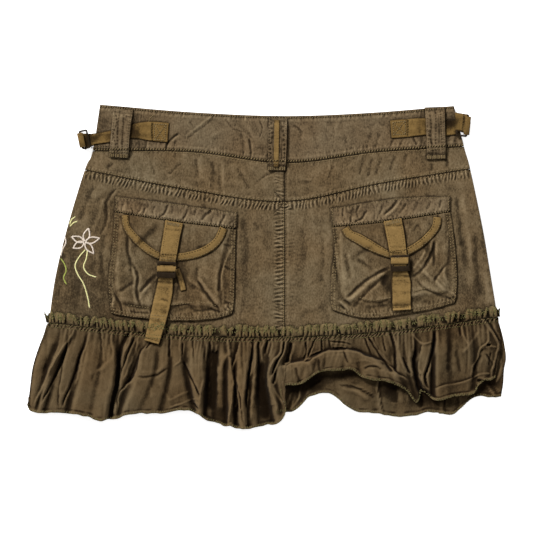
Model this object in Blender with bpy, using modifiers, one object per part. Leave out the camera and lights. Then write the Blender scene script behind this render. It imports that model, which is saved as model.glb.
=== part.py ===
"""Cargo utility skirt, laid flat on its front with its back up.

Written for Blender 4.5: blender --background --python part.py
Units are metres in the scene and millimetres in this file.  +X is the wearer's right, +Y points from hem
to waist, +Z points up from the surface that the skirt lies on.  The origin is on that surface, under the
middle of the skirt.  Each sewn piece is one object.
"""

import math
from collections import namedtuple

import bmesh
import bpy
import numpy as np
from mathutils import Vector

MM = 0.001

# Walls
TWILL = 1.2
BAND = 2.2
GATHERED = 1.0
WEBBING = 1.4
TAPE = 1.0
METAL = 1.6
GAP = 0.3

# Heights of the upper faces over the surface
FRONT_TOP = 1.2
FRONT_BAND_TOP = 2.0
BACK_TOP = 5.0
BACK_SIDE_TOP = 2.9
BAND_TOP = 6.3
BAND_SIDE_TOP = 4.7
SIDE_ROLL = 9.0
FRONT_INSET = 1.5
# The front band's edge lies this share of a section below the back one's
FRONT_BAND_DROP = 0.08
# Over this distance the cloth falls from the waistband's height to the yoke's
BAND_STEP = 5.0

# Belt loops are sewn down over these shares of their length, and stand this far over the strap
LOOP_SEWN_TOP = 0.18
LOOP_SEWN_FOOT = 0.22
LOOP_EASE = 0.7
TAPE_START = 0.05
TAPE_END = 0.93

# Pockets: how far the bag's face and its folded gusset stand off the panel, and the stack on top
FACE_RISE = 4.7
GUSSET_RISE = 2.6
FACE_ROLL = 3.0
FLAP_LIFT = GAP + TWILL
BINDING_LIFT = FLAP_LIFT + GAP + TAPE
STRAP_LIFT = BINDING_LIFT + GAP + WEBBING
RIM_ROLL = 2.5
HEADER = 2.0
HEADER_SIDE = 0.08
HEADER_CLEAR = 1.0
FLAP_END = 1.5
FLAP_INSET = 1.5
BINDING_DROOP = 1.2
TAIL_SPREAD = 5.0
TAIL_FALL = 9.0

# Gathered flounce
RUFFLE_SEAM_TOP = 6.2
RUFFLE_MID = 0.42
FRILL_HEIGHT = 11.0
FRILL_WAVES = 66
FRILL_STEPS = 4
FRILL_SWING = 1.9
FRILL_EDGE_SWING = 1.2
FRILL_FOOT = 0.4
# The frill stands out past both sides of the body by these shares of its width
FRILL_START = -0.004
FRILL_END = 1.008
SHOULDER = 0.36
SHOULDER_FALL = 0.14
# The tuck: cloth runs down under its edge, turns back up to the edge, and rolls over to the hem
FLOUNCE_ROWS = 8
TUCK_CREST = 12.0
# Each row is a step of the tuck: its share of the flounce's rows, where it is from the seam (0) to the
# tuck's edge (1) and on to the hem (2), how far below that it laps, its height, and its share of the
# wave.
TuckStep = namedtuple("TuckStep", "row place lap height wave")
TUCK_STEPS = [
    TuckStep(1 / 8, 0.4, 0, 5.8, 0.3),
    TuckStep(2 / 8, 0.8, 0.4, 4.6, 0.1),
    TuckStep(3 / 8, 1.0, 1.0, 4.6, 0.0),
    TuckStep(4 / 8, 1.0, 0.6, 7.6, 0.0),
    TuckStep(5 / 8, 1.0, 0.0, 10.4, 0.0),
    TuckStep(6 / 8, 1.25, 0.0, 13.0, 0.3),
    TuckStep(7 / 8, 1.65, 0.0, 12.2, 0.7),
    TuckStep(8 / 8, 2.0, 0.0, 10.5, 0.9),
]

# Each row is a seam or hip line of the laid-out body, from waist to flounce.
Section = namedtuple(
    "Section", "name x_left x_centre x_right y_left y_mid_left y_centre y_mid_right y_right"
)
SECTIONS = [
    Section("waist", -183, 20, 206, 178, 169.5, 165.5, 169, 176.5),
    Section("band_seam", -191, 20, 217, 127, 126, 114, 125.5, 132),
    Section("yoke_seam", -200, 20, 224, 106, 84.5, 71, 90.5, 107),
    Section("hip", -219, 20, 237.5, 43, 30, 24, 31, 43),
    Section("thigh", -232, 20, 246, -11, -19, -25, -19, -7),
    Section("flounce_seam", -239.5, 20, 254, -62, -75, -77.5, -70.5, -55.5),
]
WAIST, BAND_SEAM, YOKE_SEAM, HIP, THIGH, FLOUNCE_SEAM = range(6)

# Soft rises of the upper cloth over what lies beneath it
Swell = namedtuple("Swell", "x y reach rise")
SWELLS = [
    Swell(-205, 60, 22, 0.8),
    Swell(-60, 95, 40, 0.7),
    Swell(-15, 20, 16, 0.8),
    Swell(52, 0, 14, 0.9),
    Swell(120, 100, 34, 0.7),
    Swell(225, 40, 14, 0.7),
    Swell(50, 60, 20, 0.6),
]

# Each row is one fold of the flounce: where its crest starts at the seam, where it is at mid depth and at
# the hem, how wide it is there, how low the hem hangs, how high it stands, and how low the cloth drops
# before the next fold.  tuck_y is the upper edge of the sideways tuck and tuck_lap its depth, where the
# fold has one.
Fold = namedtuple(
    "Fold", "seam_x mid_x hem_x mid_width hem_width hem_y mid_rise hem_rise valley tuck_y tuck_lap"
)
BACK_FOLDS = [
    Fold(-233, -247, -257, 12, 7, -157, 9, 8, 5.5, None, 0),
    Fold(-213, -233, -249, 6, 6, -159.5, 13, 11, 5, None, 0),
    Fold(-203, -217, -232, 14, 20, -160.5, 10, 9, 3.6, None, 0),
    Fold(-188, -193.5, -206, 18, 20, -163, 12, 11, 10, None, 0),
    Fold(-174, -173, -184, 18, 18, -170, 15, 13, 3.2, None, 0),
    Fold(-153, -155.5, -167, 6, 5, -165, 9, 5, 4, None, 0),
    Fold(-131, -132, -152, 20, 20, -164, 14, 10, 9, None, 0),
    Fold(-115, -114, -129, 13, 22, -160.5, 12, 10, 6, None, 0),
    Fold(-100, -98, -98, 12, 34, -158.5, 11, 9, 3.4, None, 0),
    Fold(-78, -76, -73, 20, 6, -161, 15, 13, 3.2, None, 0),
    Fold(-60, -61, -63, 6, 6, -169, 7, 5, 3.2, None, 0),
    Fold(-49, -51, -51, 8, 9, -172.5, 9, 5, 3.2, None, 0),
    Fold(-41, -39.5, -39.5, 5.5, 6, -174.5, 14, 12, 4.5, None, 0),
    Fold(-25.5, -27, -26, 14, 7, -177.5, 15, 14, 6, None, 0),
    Fold(-13, -14, -14.5, 6, 9, -177, 9, 7, 3.2, None, 0),
    Fold(-2, -4, -2, 6, 9, -175.5, 5, 4.5, 3.2, None, 0),
    Fold(11, 4.5, 14, 6, 6, -170, 13, 11, 7.5, None, 0),
    Fold(21, 14, 20, 6, 5, -153, 12, 10, 9.5, None, 0),
    Fold(33, 30, 28, 20, 13, -131, 12, 12, 9, -105, 3),
    Fold(47, 48, 43, 10, 11, -126, 12, 12, 9, -99, 7),
    Fold(57, 59.5, 55, 9, 10, -118.5, 12, 12, 9.5, -94.5, 9),
    Fold(69, 74, 72, 15, 20, -115.5, 13, 12, 10, -91.5, 10),
    Fold(87, 90, 93, 11, 14, -115, 13, 12, 9.5, -90, 10),
    Fold(103, 107, 114, 16, 19, -123.5, 13, 12, 10, -95.5, 9),
    Fold(116, 124, 133, 10, 13, -127.5, 13, 12, 10, -104, 7),
    Fold(128, 136, 148, 9, 12, -134, 12, 12, 8.5, -115, 1),
    Fold(143, 147, 159, 8, 8, -143.5, 12, 9, 7, None, 0),
    Fold(154, 156, 166, 7, 6, -148.5, 11, 8, 3.2, None, 0),
    Fold(176, 174.5, 176, 12, 10, -140.5, 12, 9, 4, None, 0),
    Fold(192, 192, 192, 15, 15, -146.5, 14, 12, 11, None, 0),
    Fold(212, 215, 214, 22, 21, -142, 14, 12, 6.5, None, 0),
    Fold(234, 238.5, 235, 10, 9, -128, 11, 9, 7, None, 0),
]
FRONT_FOLDS = [
    Fold(-220, -228, -236, 40, 46, -153, 1, 1, 1, None, 0),
    Fold(-150, -152, -160, 60, 60, -156, 1, 1, 1, None, 0),
    Fold(-80, -80, -82, 60, 60, -156, 1, 1, 1, None, 0),
    Fold(-20, -20, -15, 50, 40, -160, 1, 1, 1, None, 0),
    Fold(20, 19, 24, 20, 16, -158, 1, 1, 1, None, 0),
    Fold(42, 42, 44, 16, 12, -146, 1, 1.6, 1, None, 0),
    Fold(62, 62, 62, 16, 14, -140, 1, 4.5, 2, None, 0),
    Fold(84, 84, 84, 16, 16, -150, 1, 5, 2.4, None, 0),
    Fold(104, 104, 108, 16, 16, -161, 1, 5.5, 2, None, 0),
    Fold(124, 124, 127, 12, 10, -162, 1, 5, 1.8, None, 0),
    Fold(144, 144, 148, 16, 18, -164, 1, 3.6, 1, None, 0),
    Fold(168, 168, 172, 18, 20, -162, 1, 2.2, 1, None, 0),
    Fold(192, 194, 196, 20, 18, -163, 1, 2.2, 1, None, 0),
    Fold(214, 216, 216, 14, 12, -153, 1, 2, 1, None, 0),
    Fold(234, 238, 236, 14, 14, -143, 1, 2, 1, None, 0),
]
# The side ends of a flounce: x at the seam, at mid depth and at the hem, the hem's y, and the height
End = namedtuple("End", "seam_x mid_x hem_x hem_y height")
BACK_ENDS = (End(-240, -256, -262, -155, 3.4), End(254.5, 256, 250, -120, 4.2))
FRONT_ENDS = (End(-238, -253, -259, -151, 1), End(253, 262, 258.5, -142.5, 1))

# A strip of webbing, tape or cloth is a row of stations along its middle line.
Station = namedtuple("Station", "x y width")
BELT_LOOPS = {
    "left": [Station(-157, 173.5, 22), Station(-160, 148, 21), Station(-162, 119, 21)],
    "centre": [Station(12.5, 163.5, 20.5), Station(12, 135, 20.5), Station(11.5, 105, 19)],
    "right": [Station(184.5, 175, 22), Station(185.5, 148, 21), Station(186.5, 117.5, 21)],
}
LOOP_TAPE = [Station(11.5, 160.5, 5.5), Station(11, 135, 5.5), Station(10.5, 109, 5.5)]
SIDE_STRAPS = {
    "left": [
        Station(-108, 147, 21.5), Station(-128, 148.5, 21), Station(-147.5, 148.5, 16),
        Station(-172.5, 142.5, 12.5), Station(-195, 139.5, 12),
    ],
    "right": [
        Station(136.5, 150.5, 20), Station(155, 152, 20), Station(174, 153.5, 19),
        Station(195, 152, 17), Station(209, 153, 16),
    ],
}
# A metal ring lies at each side, with the webbing keeper folded over its outer bar.
Ring = namedtuple("Ring", "x y height width length turn")
SIDE_RINGS = {
    "left": Ring(-199.5, 139.5, 7.5, 10, 21, 12),
    "right": Ring(215, 155, 8.15, 13, 25, -6),
}
RING_BAR = 2.0
KEEPER_LEG = 4.0
KEEPER_SLACK = 0.6
KEEPER_CLEAR = 1.0
METAL_CORNER = 2.0

Pocket = namedtuple(
    "Pocket",
    "side header_top header_bottom bag_left bag_right bag_bottom face_left face_right face_bottom "
    "binding strap slider tail strap_end",
)
Slider = namedtuple("Slider", "x y turn")
POCKETS = [
    Pocket(
        side="left",
        header_top=[(-166, 77.5), (-99, 69), (-32, 59)],
        header_bottom=[(-167, 60.5), (-112, 51.5), (-33, 41.5)],
        bag_left=[(-167, 60), (-170, 18), (-174, -17), (-174, -40)],
        bag_right=[(-33, 41.5), (-34, 12), (-34.5, -17), (-34.5, -42)],
        bag_bottom=[(-165, -54.5), (-130, -58), (-76, -59.5), (-36.5, -55.5)],
        face_left=[(-162, 56), (-165, 18), (-168, -17), (-162, -39)],
        face_right=[(-37, 42), (-48, 6), (-51, -17), (-49, -43)],
        face_bottom=[(-166, -38), (-128, -45), (-88, -44.5), (-46, -44.5)],
        binding=[
            Station(-155, 56, 8), Station(-153.5, 43.5, 8), Station(-144.5, 31.5, 8.5),
            Station(-133.5, 21, 8.5), Station(-121, 13, 8), Station(-107, 10, 8.5),
            Station(-92.5, 10.5, 8.5), Station(-76, 14, 9), Station(-63, 20, 9),
            Station(-53, 29, 9), Station(-47, 42, 9),
        ],
        strap=[Station(-101, 49, 20), Station(-104.5, 30, 19), Station(-109, 2.5, 18.5)],
        slider=Slider(-109.5, -3.5, -3),
        tail=[
            Station(-109.3, 1.3, 15.5), Station(-109.8, -9, 15.5), Station(-112.5, -30, 19),
            Station(-117, -50, 19), Station(-121, -66, 18), Station(-126, -83, 17),
        ],
        strap_end=[Station(-98.5, -3, 7), Station(-94, -14, 6.5), Station(-91, -26, 6.5)],
    ),
    Pocket(
        side="right",
        header_top=[(70, 64), (143, 75), (202, 77.5)],
        header_bottom=[(71.5, 44), (127, 49), (201.5, 60.5)],
        bag_left=[(71.5, 43.5), (74, 23), (71, -10), (69, -38)],
        bag_right=[(202, 60), (207, 23), (210, -20), (210, -36)],
        bag_bottom=[(76, -51), (108, -57), (150, -52.5), (202, -43.5)],
        face_left=[(76, 43), (78, 23), (80, -10), (83, -33)],
        face_right=[(197.5, 56), (199, 23), (198.5, -10), (203, -29)],
        face_bottom=[(84, -39), (112, -41), (138, -38), (203, -28)],
        binding=[
            Station(86, 42, 9), Station(90, 36, 10), Station(100, 30.5, 11.5),
            Station(115, 22, 11), Station(132, 14, 8), Station(145, 12.5, 8.5),
            Station(156, 17, 8.5), Station(171, 26.5, 8.5), Station(182.5, 38.5, 8.5),
            Station(186.5, 46, 9), Station(187.5, 54, 9),
        ],
        strap=[Station(138, 51, 20.5), Station(141.5, 33, 20), Station(145, 9.5, 18.5)],
        slider=Slider(146, 3.5, 2),
        tail=[
            Station(145.9, 8.3, 15.5), Station(146.3, -3, 15.5), Station(147.5, -16, 21),
            Station(148, -32, 20.5), Station(148.5, -47, 20.5),
        ],
        strap_end=None,
    ),
]

# Flat metal sliders on the pocket straps
SLIDER_WIDTH = 21.0
SLIDER_LENGTH = 18.0
SLIDER_RAIL = 1.6
SLIDER_TOP_BAR = 3.2
SLIDER_LOWER_BAR = 6.0
SLIDER_CLIMB = 1.1
SLOT_CLEAR = 1.2

# How finely each piece is divided: columns across, then rows down
BAND_GRID = (14, 3)
YOKE_GRID = (12, 3)
PANEL_GRID = (12, 10)
FRONT_BAND_GRID = (6, 1)
FRONT_PANEL_GRID = (6, 6)
SIDE_STRAP_GRID = (2, 12)
LOOP_GRID = (2, 14)
TAPE_GRID = (1, 10)
KEEPER_GRID = (1, 16)
HEADER_GRID = (12, 3)
FLAP_GRID = (14, 3)
BINDING_GRID = (2, 20)
POCKET_STRAP_GRID = (2, 10)
TAIL_GRID = (2, 26)
STRAP_END_GRID = (1, 6)
BAG_INNER = 6
FRONT_FLOUNCE_ROWS = 4
CORNER_STEPS = 3

# Material colours: red, green, blue, roughness, metallic
TWILL_OLIVE = (0.125, 0.088, 0.048, 0.92, 0.0)
BAND_OLIVE = (0.135, 0.098, 0.056, 0.92, 0.0)
RUFFLE_OLIVE = (0.085, 0.060, 0.032, 0.92, 0.0)
OVERLOCK_OLIVE = (0.110, 0.095, 0.045, 0.95, 0.0)
WEBBING_TAN = (0.250, 0.155, 0.055, 0.85, 0.0)
METAL_BROWN = (0.030, 0.024, 0.018, 0.45, 0.9)

parts = bpy.data.collections.new("cargo_utility_skirt")


def clear_scene():
    for old in list(bpy.data.objects):
        bpy.data.objects.remove(old, do_unlink=True)
    bpy.context.scene.collection.children.link(parts)


def new_material(name, look):
    red, green, blue, roughness, metallic = look
    material = bpy.data.materials.new(name)
    material.use_nodes = True
    shader = material.node_tree.nodes["Principled BSDF"]
    shader.inputs["Base Color"].default_value = (red, green, blue, 1.0)
    shader.inputs["Roughness"].default_value = roughness
    shader.inputs["Metallic"].default_value = metallic
    return material


def spline(knots, values, at):
    """A smooth line through the values at the knots, with the slope of the neighbours at each knot."""
    knots = np.asarray(knots, float)
    values = np.asarray(values, float)
    slopes = np.gradient(values, knots)
    i = int(np.clip(np.searchsorted(knots, at) - 1, 0, len(knots) - 2))
    step = knots[i + 1] - knots[i]
    t = (at - knots[i]) / step
    rise = values[i + 1] - values[i]
    a = slopes[i] * step - rise
    b = rise - slopes[i + 1] * step
    return float(values[i] + t * rise + t * (1 - t) * (a * (1 - t) + b * t))


def along(points, t):
    """The point at share t of a line through evenly spaced points."""
    knots = np.linspace(0, 1, len(points))
    return tuple(spline(knots, [p[i] for p in points], t) for i in range(2))


def mix(a, b, t):
    return a + (b - a) * t


def ease(t):
    t = min(max(t, 0.0), 1.0)
    return t * t * (3 - 2 * t)


def section_point(u, v):
    """Plan point of the body at share u across, from left to right, and section number v."""
    xs = [spline((0, 0.5, 1), (s.x_left, s.x_centre, s.x_right), u) for s in SECTIONS]
    fifths = (0, 0.25, 0.5, 0.75, 1)
    ys = [
        spline(fifths, (s.y_left, s.y_mid_left, s.y_centre, s.y_mid_right, s.y_right), u)
        for s in SECTIONS
    ]
    numbers = range(len(SECTIONS))
    return spline(numbers, xs, v), spline(numbers, ys, v)


EDGE_STATIONS = np.linspace(WAIST, FLOUNCE_SEAM, 41)
LEFT_EDGE = np.array([section_point(0, v) for v in EDGE_STATIONS])[::-1]
RIGHT_EDGE = np.array([section_point(1, v) for v in EDGE_STATIONS])[::-1]


def edge_distance(x, y):
    """How far a plan point lies inside the nearer side of the body."""
    left = np.interp(y, LEFT_EDGE[:, 1], LEFT_EDGE[:, 0])
    right = np.interp(y, RIGHT_EDGE[:, 1], RIGHT_EDGE[:, 0])
    return max(min(x - left, right - x), 0.0)


def rolled(x, y, low, high):
    """A height that falls from high to low over the rounded side of the body."""
    return mix(high, low, math.exp(-((edge_distance(x, y) / SIDE_ROLL) ** 2)))


def body_height(x, y):
    swell = sum(
        s.rise * math.exp(-((x - s.x) ** 2 + (y - s.y) ** 2) / s.reach**2) for s in SWELLS
    )
    return rolled(x, y, BACK_SIDE_TOP, BACK_TOP) + swell * ease(edge_distance(x, y) / SIDE_ROLL)


def band_height(x, y):
    return rolled(x, y, BAND_SIDE_TOP, BAND_TOP)


def add_sheet(name, columns, rows, place, wall, look):
    """A cloth wall: a flat grid with its points put at place(across, down), thickened downward."""
    mesh = bpy.data.meshes.new(name)
    sheet = bmesh.new()
    bmesh.ops.create_grid(sheet, x_segments=columns, y_segments=rows, size=0.5)
    for point in sheet.verts:
        point.co = Vector(place(point.co.x + 0.5, 0.5 - point.co.y)) * MM
    sheet.to_mesh(mesh)
    sheet.free()
    mesh.shade_smooth()
    piece = bpy.data.objects.new(name, mesh)
    piece.data.materials.append(new_material(name, look))
    parts.objects.link(piece)
    solidify = piece.modifiers.new("wall", "SOLIDIFY")
    solidify.thickness = wall * MM
    solidify.offset = -1.0
    return piece


def body_panel(name, sides, stations, grid, height, wall, look, inset=0.0):
    """A panel between two shares across the body and two sections down it, a seam gap inside them."""

    def place(across, down):
        x, y = section_point(mix(sides[0], sides[1], across), mix(stations[0], stations[1], down))
        x += GAP / 2 * (1 - 2 * across)
        y -= GAP / 2 * (1 - 2 * down)
        if sides[0] == 0:
            x += inset * (1 - across)
        if sides[1] == 1:
            x -= inset * across
        return x, y, height(x, y)

    return add_sheet(name, grid[0], grid[1], place, wall, look)


def build_body():
    for side, sides in (("left", (0, 0.5)), ("right", (0.5, 1))):
        body_panel(
            f"waistband_back_{side}", sides, (WAIST, BAND_SEAM), BAND_GRID, band_height, BAND, BAND_OLIVE
        )
        body_panel(
            f"yoke_back_{side}", sides, (BAND_SEAM, YOKE_SEAM), YOKE_GRID, body_height, TWILL, TWILL_OLIVE
        )
        body_panel(
            f"panel_back_{side}", sides, (YOKE_SEAM, FLOUNCE_SEAM), PANEL_GRID,
            body_height, TWILL, TWILL_OLIVE,
        )
        body_panel(
            f"waistband_front_{side}", sides, (WAIST + FRONT_BAND_DROP, BAND_SEAM), FRONT_BAND_GRID,
            lambda x, y: FRONT_BAND_TOP, FRONT_BAND_TOP, BAND_OLIVE, FRONT_INSET,
        )
        body_panel(
            f"panel_front_{side}", sides, (BAND_SEAM, FLOUNCE_SEAM), FRONT_PANEL_GRID,
            lambda x, y: FRONT_TOP, FRONT_TOP, TWILL_OLIVE, FRONT_INSET,
        )


def strip(name, stations, grid, top, wall, look):
    """A strip through its stations, its upper face at the height top(x, y, share along, share across)."""
    knots = np.linspace(0, 1, len(stations))

    def place(across, down):
        x, y, width = (spline(knots, [s[i] for s in stations], down) for i in range(3))
        before, after = max(down - 0.02, 0), min(down + 0.02, 1)
        dx, dy = (
            spline(knots, [s[i] for s in stations], after)
            - spline(knots, [s[i] for s in stations], before)
            for i in range(2)
        )
        length = math.hypot(dx, dy)
        offset = (across - 0.5) * width
        x -= dy / length * offset
        y += dx / length * offset
        return x, y, top(x, y, down, across)

    return add_sheet(name, grid[0], grid[1], place, wall, look)


def seam_y(section, x):
    """The y at x of a section line across the body."""
    seam = SECTIONS[section]
    knots = np.interp((0, 0.5, 1, 1.5, 2), (0, 1, 2), (seam.x_left, seam.x_centre, seam.x_right))
    ys = (seam.y_left, seam.y_mid_left, seam.y_centre, seam.y_mid_right, seam.y_right)
    return spline(knots, ys, min(max(x, seam.x_left), seam.x_right))


def waist_height(x, y):
    """The height of band or yoke under a plan point, eased over the seam between them."""
    on_band = ease((y - seam_y(BAND_SEAM, x) + BAND_STEP) / BAND_STEP)
    return mix(body_height(x, y), band_height(x, y), on_band)


def loop_height(x, y, t):
    """A belt loop is sewn down at both ends and stands over the strap between them."""
    stand = GAP + WEBBING + LOOP_EASE
    bridge = ease(t / LOOP_SEWN_TOP) * ease((1 - t) / LOOP_SEWN_FOOT)
    return waist_height(x, y) + GAP + BAND + stand * bridge


def build_waist():
    for side, stations in SIDE_STRAPS.items():
        strip(
            f"side_strap_{side}", stations, SIDE_STRAP_GRID,
            lambda x, y, t, across: waist_height(x, y) + GAP + WEBBING, WEBBING, WEBBING_TAN,
        )
    for side, stations in BELT_LOOPS.items():
        strip(
            f"belt_loop_{side}", stations, LOOP_GRID,
            lambda x, y, t, across: loop_height(x, y, t), BAND, BAND_OLIVE,
        )
    strip(
        "belt_loop_tape", LOOP_TAPE, TAPE_GRID,
        lambda x, y, t, across: loop_height(x, y, mix(TAPE_START, TAPE_END, t)) + GAP + TAPE,
        TAPE, WEBBING_TAN,
    )
    for side, ring in SIDE_RINGS.items():
        opening = (0, 0, ring.width - 2 * RING_BAR, ring.length - 2 * RING_BAR)
        add_plate(
            f"side_slider_{side}", (ring.width, ring.length), [opening],
            (ring.x, ring.y, ring.height), ring.turn,
        )
        add_keeper(f"side_keeper_{side}", ring, -1 if side == "left" else 1)


def rounded_loop(curve, x, y, width, length, radius):
    """Adds a closed rectangle with rounded corners to a flat curve."""
    points = []
    for quarter, (sx, sy) in enumerate(((1, 1), (-1, 1), (-1, -1), (1, -1))):
        for step in range(CORNER_STEPS + 1):
            angle = math.radians(90 * (quarter + step / CORNER_STEPS))
            points.append(
                (
                    x + sx * (width / 2 - radius) + radius * math.cos(angle),
                    y + sy * (length / 2 - radius) + radius * math.sin(angle),
                )
            )
    loop = curve.splines.new("POLY")
    loop.points.add(len(points) - 1)
    for point, (px, py) in zip(loop.points, points):
        point.co = (px * MM, py * MM, 0, 1)
    loop.use_cyclic_u = True


def add_plate(name, size, slots, place, turn):
    """A flat metal piece with rounded corners and slots, each slot as x, y, width and length."""
    curve = bpy.data.curves.new(name, "CURVE")
    curve.dimensions = "2D"
    curve.fill_mode = "BOTH"
    curve.extrude = METAL / 2 * MM
    rounded_loop(curve, 0, 0, size[0], size[1], METAL_CORNER)
    for x, y, width, length in slots:
        rounded_loop(curve, x, y, width, length, METAL_CORNER / 2)
    plate = bpy.data.objects.new(name, curve)
    plate.data.materials.append(new_material(name, METAL_BROWN))
    parts.objects.link(plate)
    plate.location = Vector(place) * MM
    plate.rotation_euler.z = math.radians(turn)


def add_keeper(name, ring, outward):
    """Webbing folded over the ring's outer bar, its two legs pointing back to the body."""
    bend = METAL / 2 + GAP + WEBBING
    bar = ring.width / 2 - RING_BAR / 2 + KEEPER_SLACK
    width = ring.length - 2 * RING_BAR - KEEPER_CLEAR
    turn = math.radians(ring.turn)
    arc = math.pi * bend
    whole = 2 * KEEPER_LEG + arc

    def place(across, down):
        run = down * whole
        if run < KEEPER_LEG:
            out, up = run - KEEPER_LEG, bend
        elif run > KEEPER_LEG + arc:
            out, up = KEEPER_LEG + arc - run, -bend
        else:
            angle = (run - KEEPER_LEG) / bend
            out, up = bend * math.sin(angle), bend * math.cos(angle)
        x = outward * (bar + out)
        y = outward * (across - 0.5) * width
        return (
            ring.x + x * math.cos(turn) - y * math.sin(turn),
            ring.y + x * math.sin(turn) + y * math.cos(turn),
            ring.height + up,
        )

    add_sheet(name, KEEPER_GRID[0], KEEPER_GRID[1], place, WEBBING, WEBBING_TAN)


def y_on(points, x):
    """The y at x of a line whose points run from left to right."""
    xs = [p[0] for p in points]
    return spline(xs, [p[1] for p in points], min(max(x, xs[0]), xs[-1]))


def x_on(points, y):
    """The x at y of a line whose points run from top to bottom."""
    ys = [-p[1] for p in points]
    return spline(ys, [p[0] for p in points], min(max(-y, ys[0]), ys[-1]))


def face_share(pocket, x, y, spread=0.0):
    """1 on the bag's face, 0 on the gusset round it, with the face's folds moved out by spread."""
    inside = min(
        x - x_on(pocket.face_left, y) + spread,
        x_on(pocket.face_right, y) - x + spread,
        y - y_on(pocket.face_bottom, x) + spread,
    )
    return ease(inside / FACE_ROLL)


def bag_share(pocket, x, y, spread=0.0):
    """1 on the bag, 0 below its bottom edge."""
    return ease((y - y_on(pocket.bag_bottom, x) + spread) / FACE_ROLL)


def pocket_height(pocket, x, y, spread=0.0):
    """The height of bag, gusset or panel under a plan point."""
    gusset = mix(GUSSET_RISE, FACE_RISE, face_share(pocket, x, y, spread))
    return body_height(x, y) + gusset * bag_share(pocket, x, y, spread)


def face_height(x, y):
    return body_height(x, y) + FACE_RISE


def build_bag(pocket):
    """The bag: an outer rim on the panel, a folded gusset, and a face that stands above it."""
    columns, rows = BAG_INNER + 6, BAG_INNER + 3

    def across_line(i, y):
        left, right = x_on(pocket.bag_left, y), x_on(pocket.bag_right, y)
        fold_left, fold_right = x_on(pocket.face_left, y), x_on(pocket.face_right, y)
        lines = {
            0: (left, 0), 1: (left + RIM_ROLL, 1), 2: (fold_left, 1),
            columns - 2: (fold_right, 1), columns - 1: (right - RIM_ROLL, 1), columns: (right, 0),
        }
        if i in lines:
            return lines[i]
        share = (i - 3) / BAG_INNER
        return mix(fold_left + FACE_ROLL, fold_right - FACE_ROLL, share), 2

    def down_line(j, x):
        bottom, fold = y_on(pocket.bag_bottom, x), y_on(pocket.face_bottom, x)
        lines = {rows - 2: (fold, 1), rows - 1: (bottom + RIM_ROLL, 1), rows: (bottom, 0)}
        if j in lines:
            return lines[j]
        top = y_on(pocket.header_bottom, x) - HEADER_CLEAR
        return mix(top, fold + FACE_ROLL, j / BAG_INNER), 2

    def place(across, down):
        i, j = round(across * columns), round(down * rows)
        x, y = 0.0, mix(50.0, -50.0, down)
        for _ in range(6):
            x, level_across = across_line(i, y)
            y, level_down = down_line(j, x)
        rise = (GAP + TWILL, GUSSET_RISE, FACE_RISE)[min(level_across, level_down)]
        return x, y, body_height(x, y) + rise

    add_sheet(f"pocket_bag_{pocket.side}", columns, rows, place, TWILL, TWILL_OLIVE)


def build_header(pocket):
    def place(across, down):
        x, top = along(pocket.header_top, across)
        low_x, low = along(pocket.header_bottom, across)
        x, y = mix(x, low_x, down), mix(top, low, down)
        sewn = GAP + HEADER
        side = ease(min(across, 1 - across) / HEADER_SIDE)
        return x, y, body_height(x, y) + mix(sewn, FACE_RISE + FLAP_LIFT, ease(down) * side)

    columns, rows = HEADER_GRID
    add_sheet(f"pocket_header_{pocket.side}", columns, rows, place, HEADER, BAND_OLIVE)


def build_flap(pocket):
    knots = np.linspace(0, 1, len(pocket.binding))

    def place(across, down):
        x = spline(knots, [s.x for s in pocket.binding], across)
        low = spline(knots, [s.y for s in pocket.binding], across) + FLAP_INSET
        top = y_on(pocket.header_bottom, x) - HEADER_CLEAR
        y = mix(max(top, low + FLAP_END), low, down)
        y = min(y, top - FLAP_END * down)
        return x, y, face_height(x, y) + FLAP_LIFT

    columns, rows = FLAP_GRID
    add_sheet(f"pocket_flap_{pocket.side}", columns, rows, place, TWILL, TWILL_OLIVE)
    strip(
        f"pocket_binding_{pocket.side}", pocket.binding, BINDING_GRID,
        lambda x, y, t, across: face_height(x, y) + BINDING_LIFT - BINDING_DROOP * max(1 - 2 * across, 0),
        TAPE, WEBBING_TAN,
    )


def tail_height(pocket, x, y):
    """The tail climbs into the slider's slot, passes under its lower bar and falls to the bag."""
    up = y - pocket.slider.y
    lying = pocket_height(pocket, x, y, TAIL_SPREAD) + GAP + WEBBING
    lying = max(lying, frill_clear(x, y) + GAP + WEBBING)
    in_slider = face_height(x, y) + STRAP_LIFT
    slot_low = SLIDER_LOWER_BAR - SLIDER_LENGTH / 2 + SLOT_CLEAR
    slot_high = SLIDER_LENGTH / 2 - SLIDER_TOP_BAR - SLOT_CLEAR
    climb = math.sin(math.pi * min(max((up - slot_low) / (slot_high - slot_low), 0), 1))
    leaving = ease((up + SLIDER_LENGTH / 2 + TAIL_FALL) / TAIL_FALL)
    return mix(lying, in_slider, leaving) + SLIDER_CLIMB * climb


def frill_clear(x, y):
    """The top of the frill where a plan point lies over it or close to it."""
    low = seam_y(FLOUNCE_SEAM, x)
    over = ease((y - low + 2 * FRILL_HEIGHT) / FRILL_HEIGHT) * ease(
        (low + 3 * FRILL_HEIGHT - y) / FRILL_HEIGHT
    )
    return (body_height(x, y) + GAP + GATHERED + 2 * FRILL_SWING) * over


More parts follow.
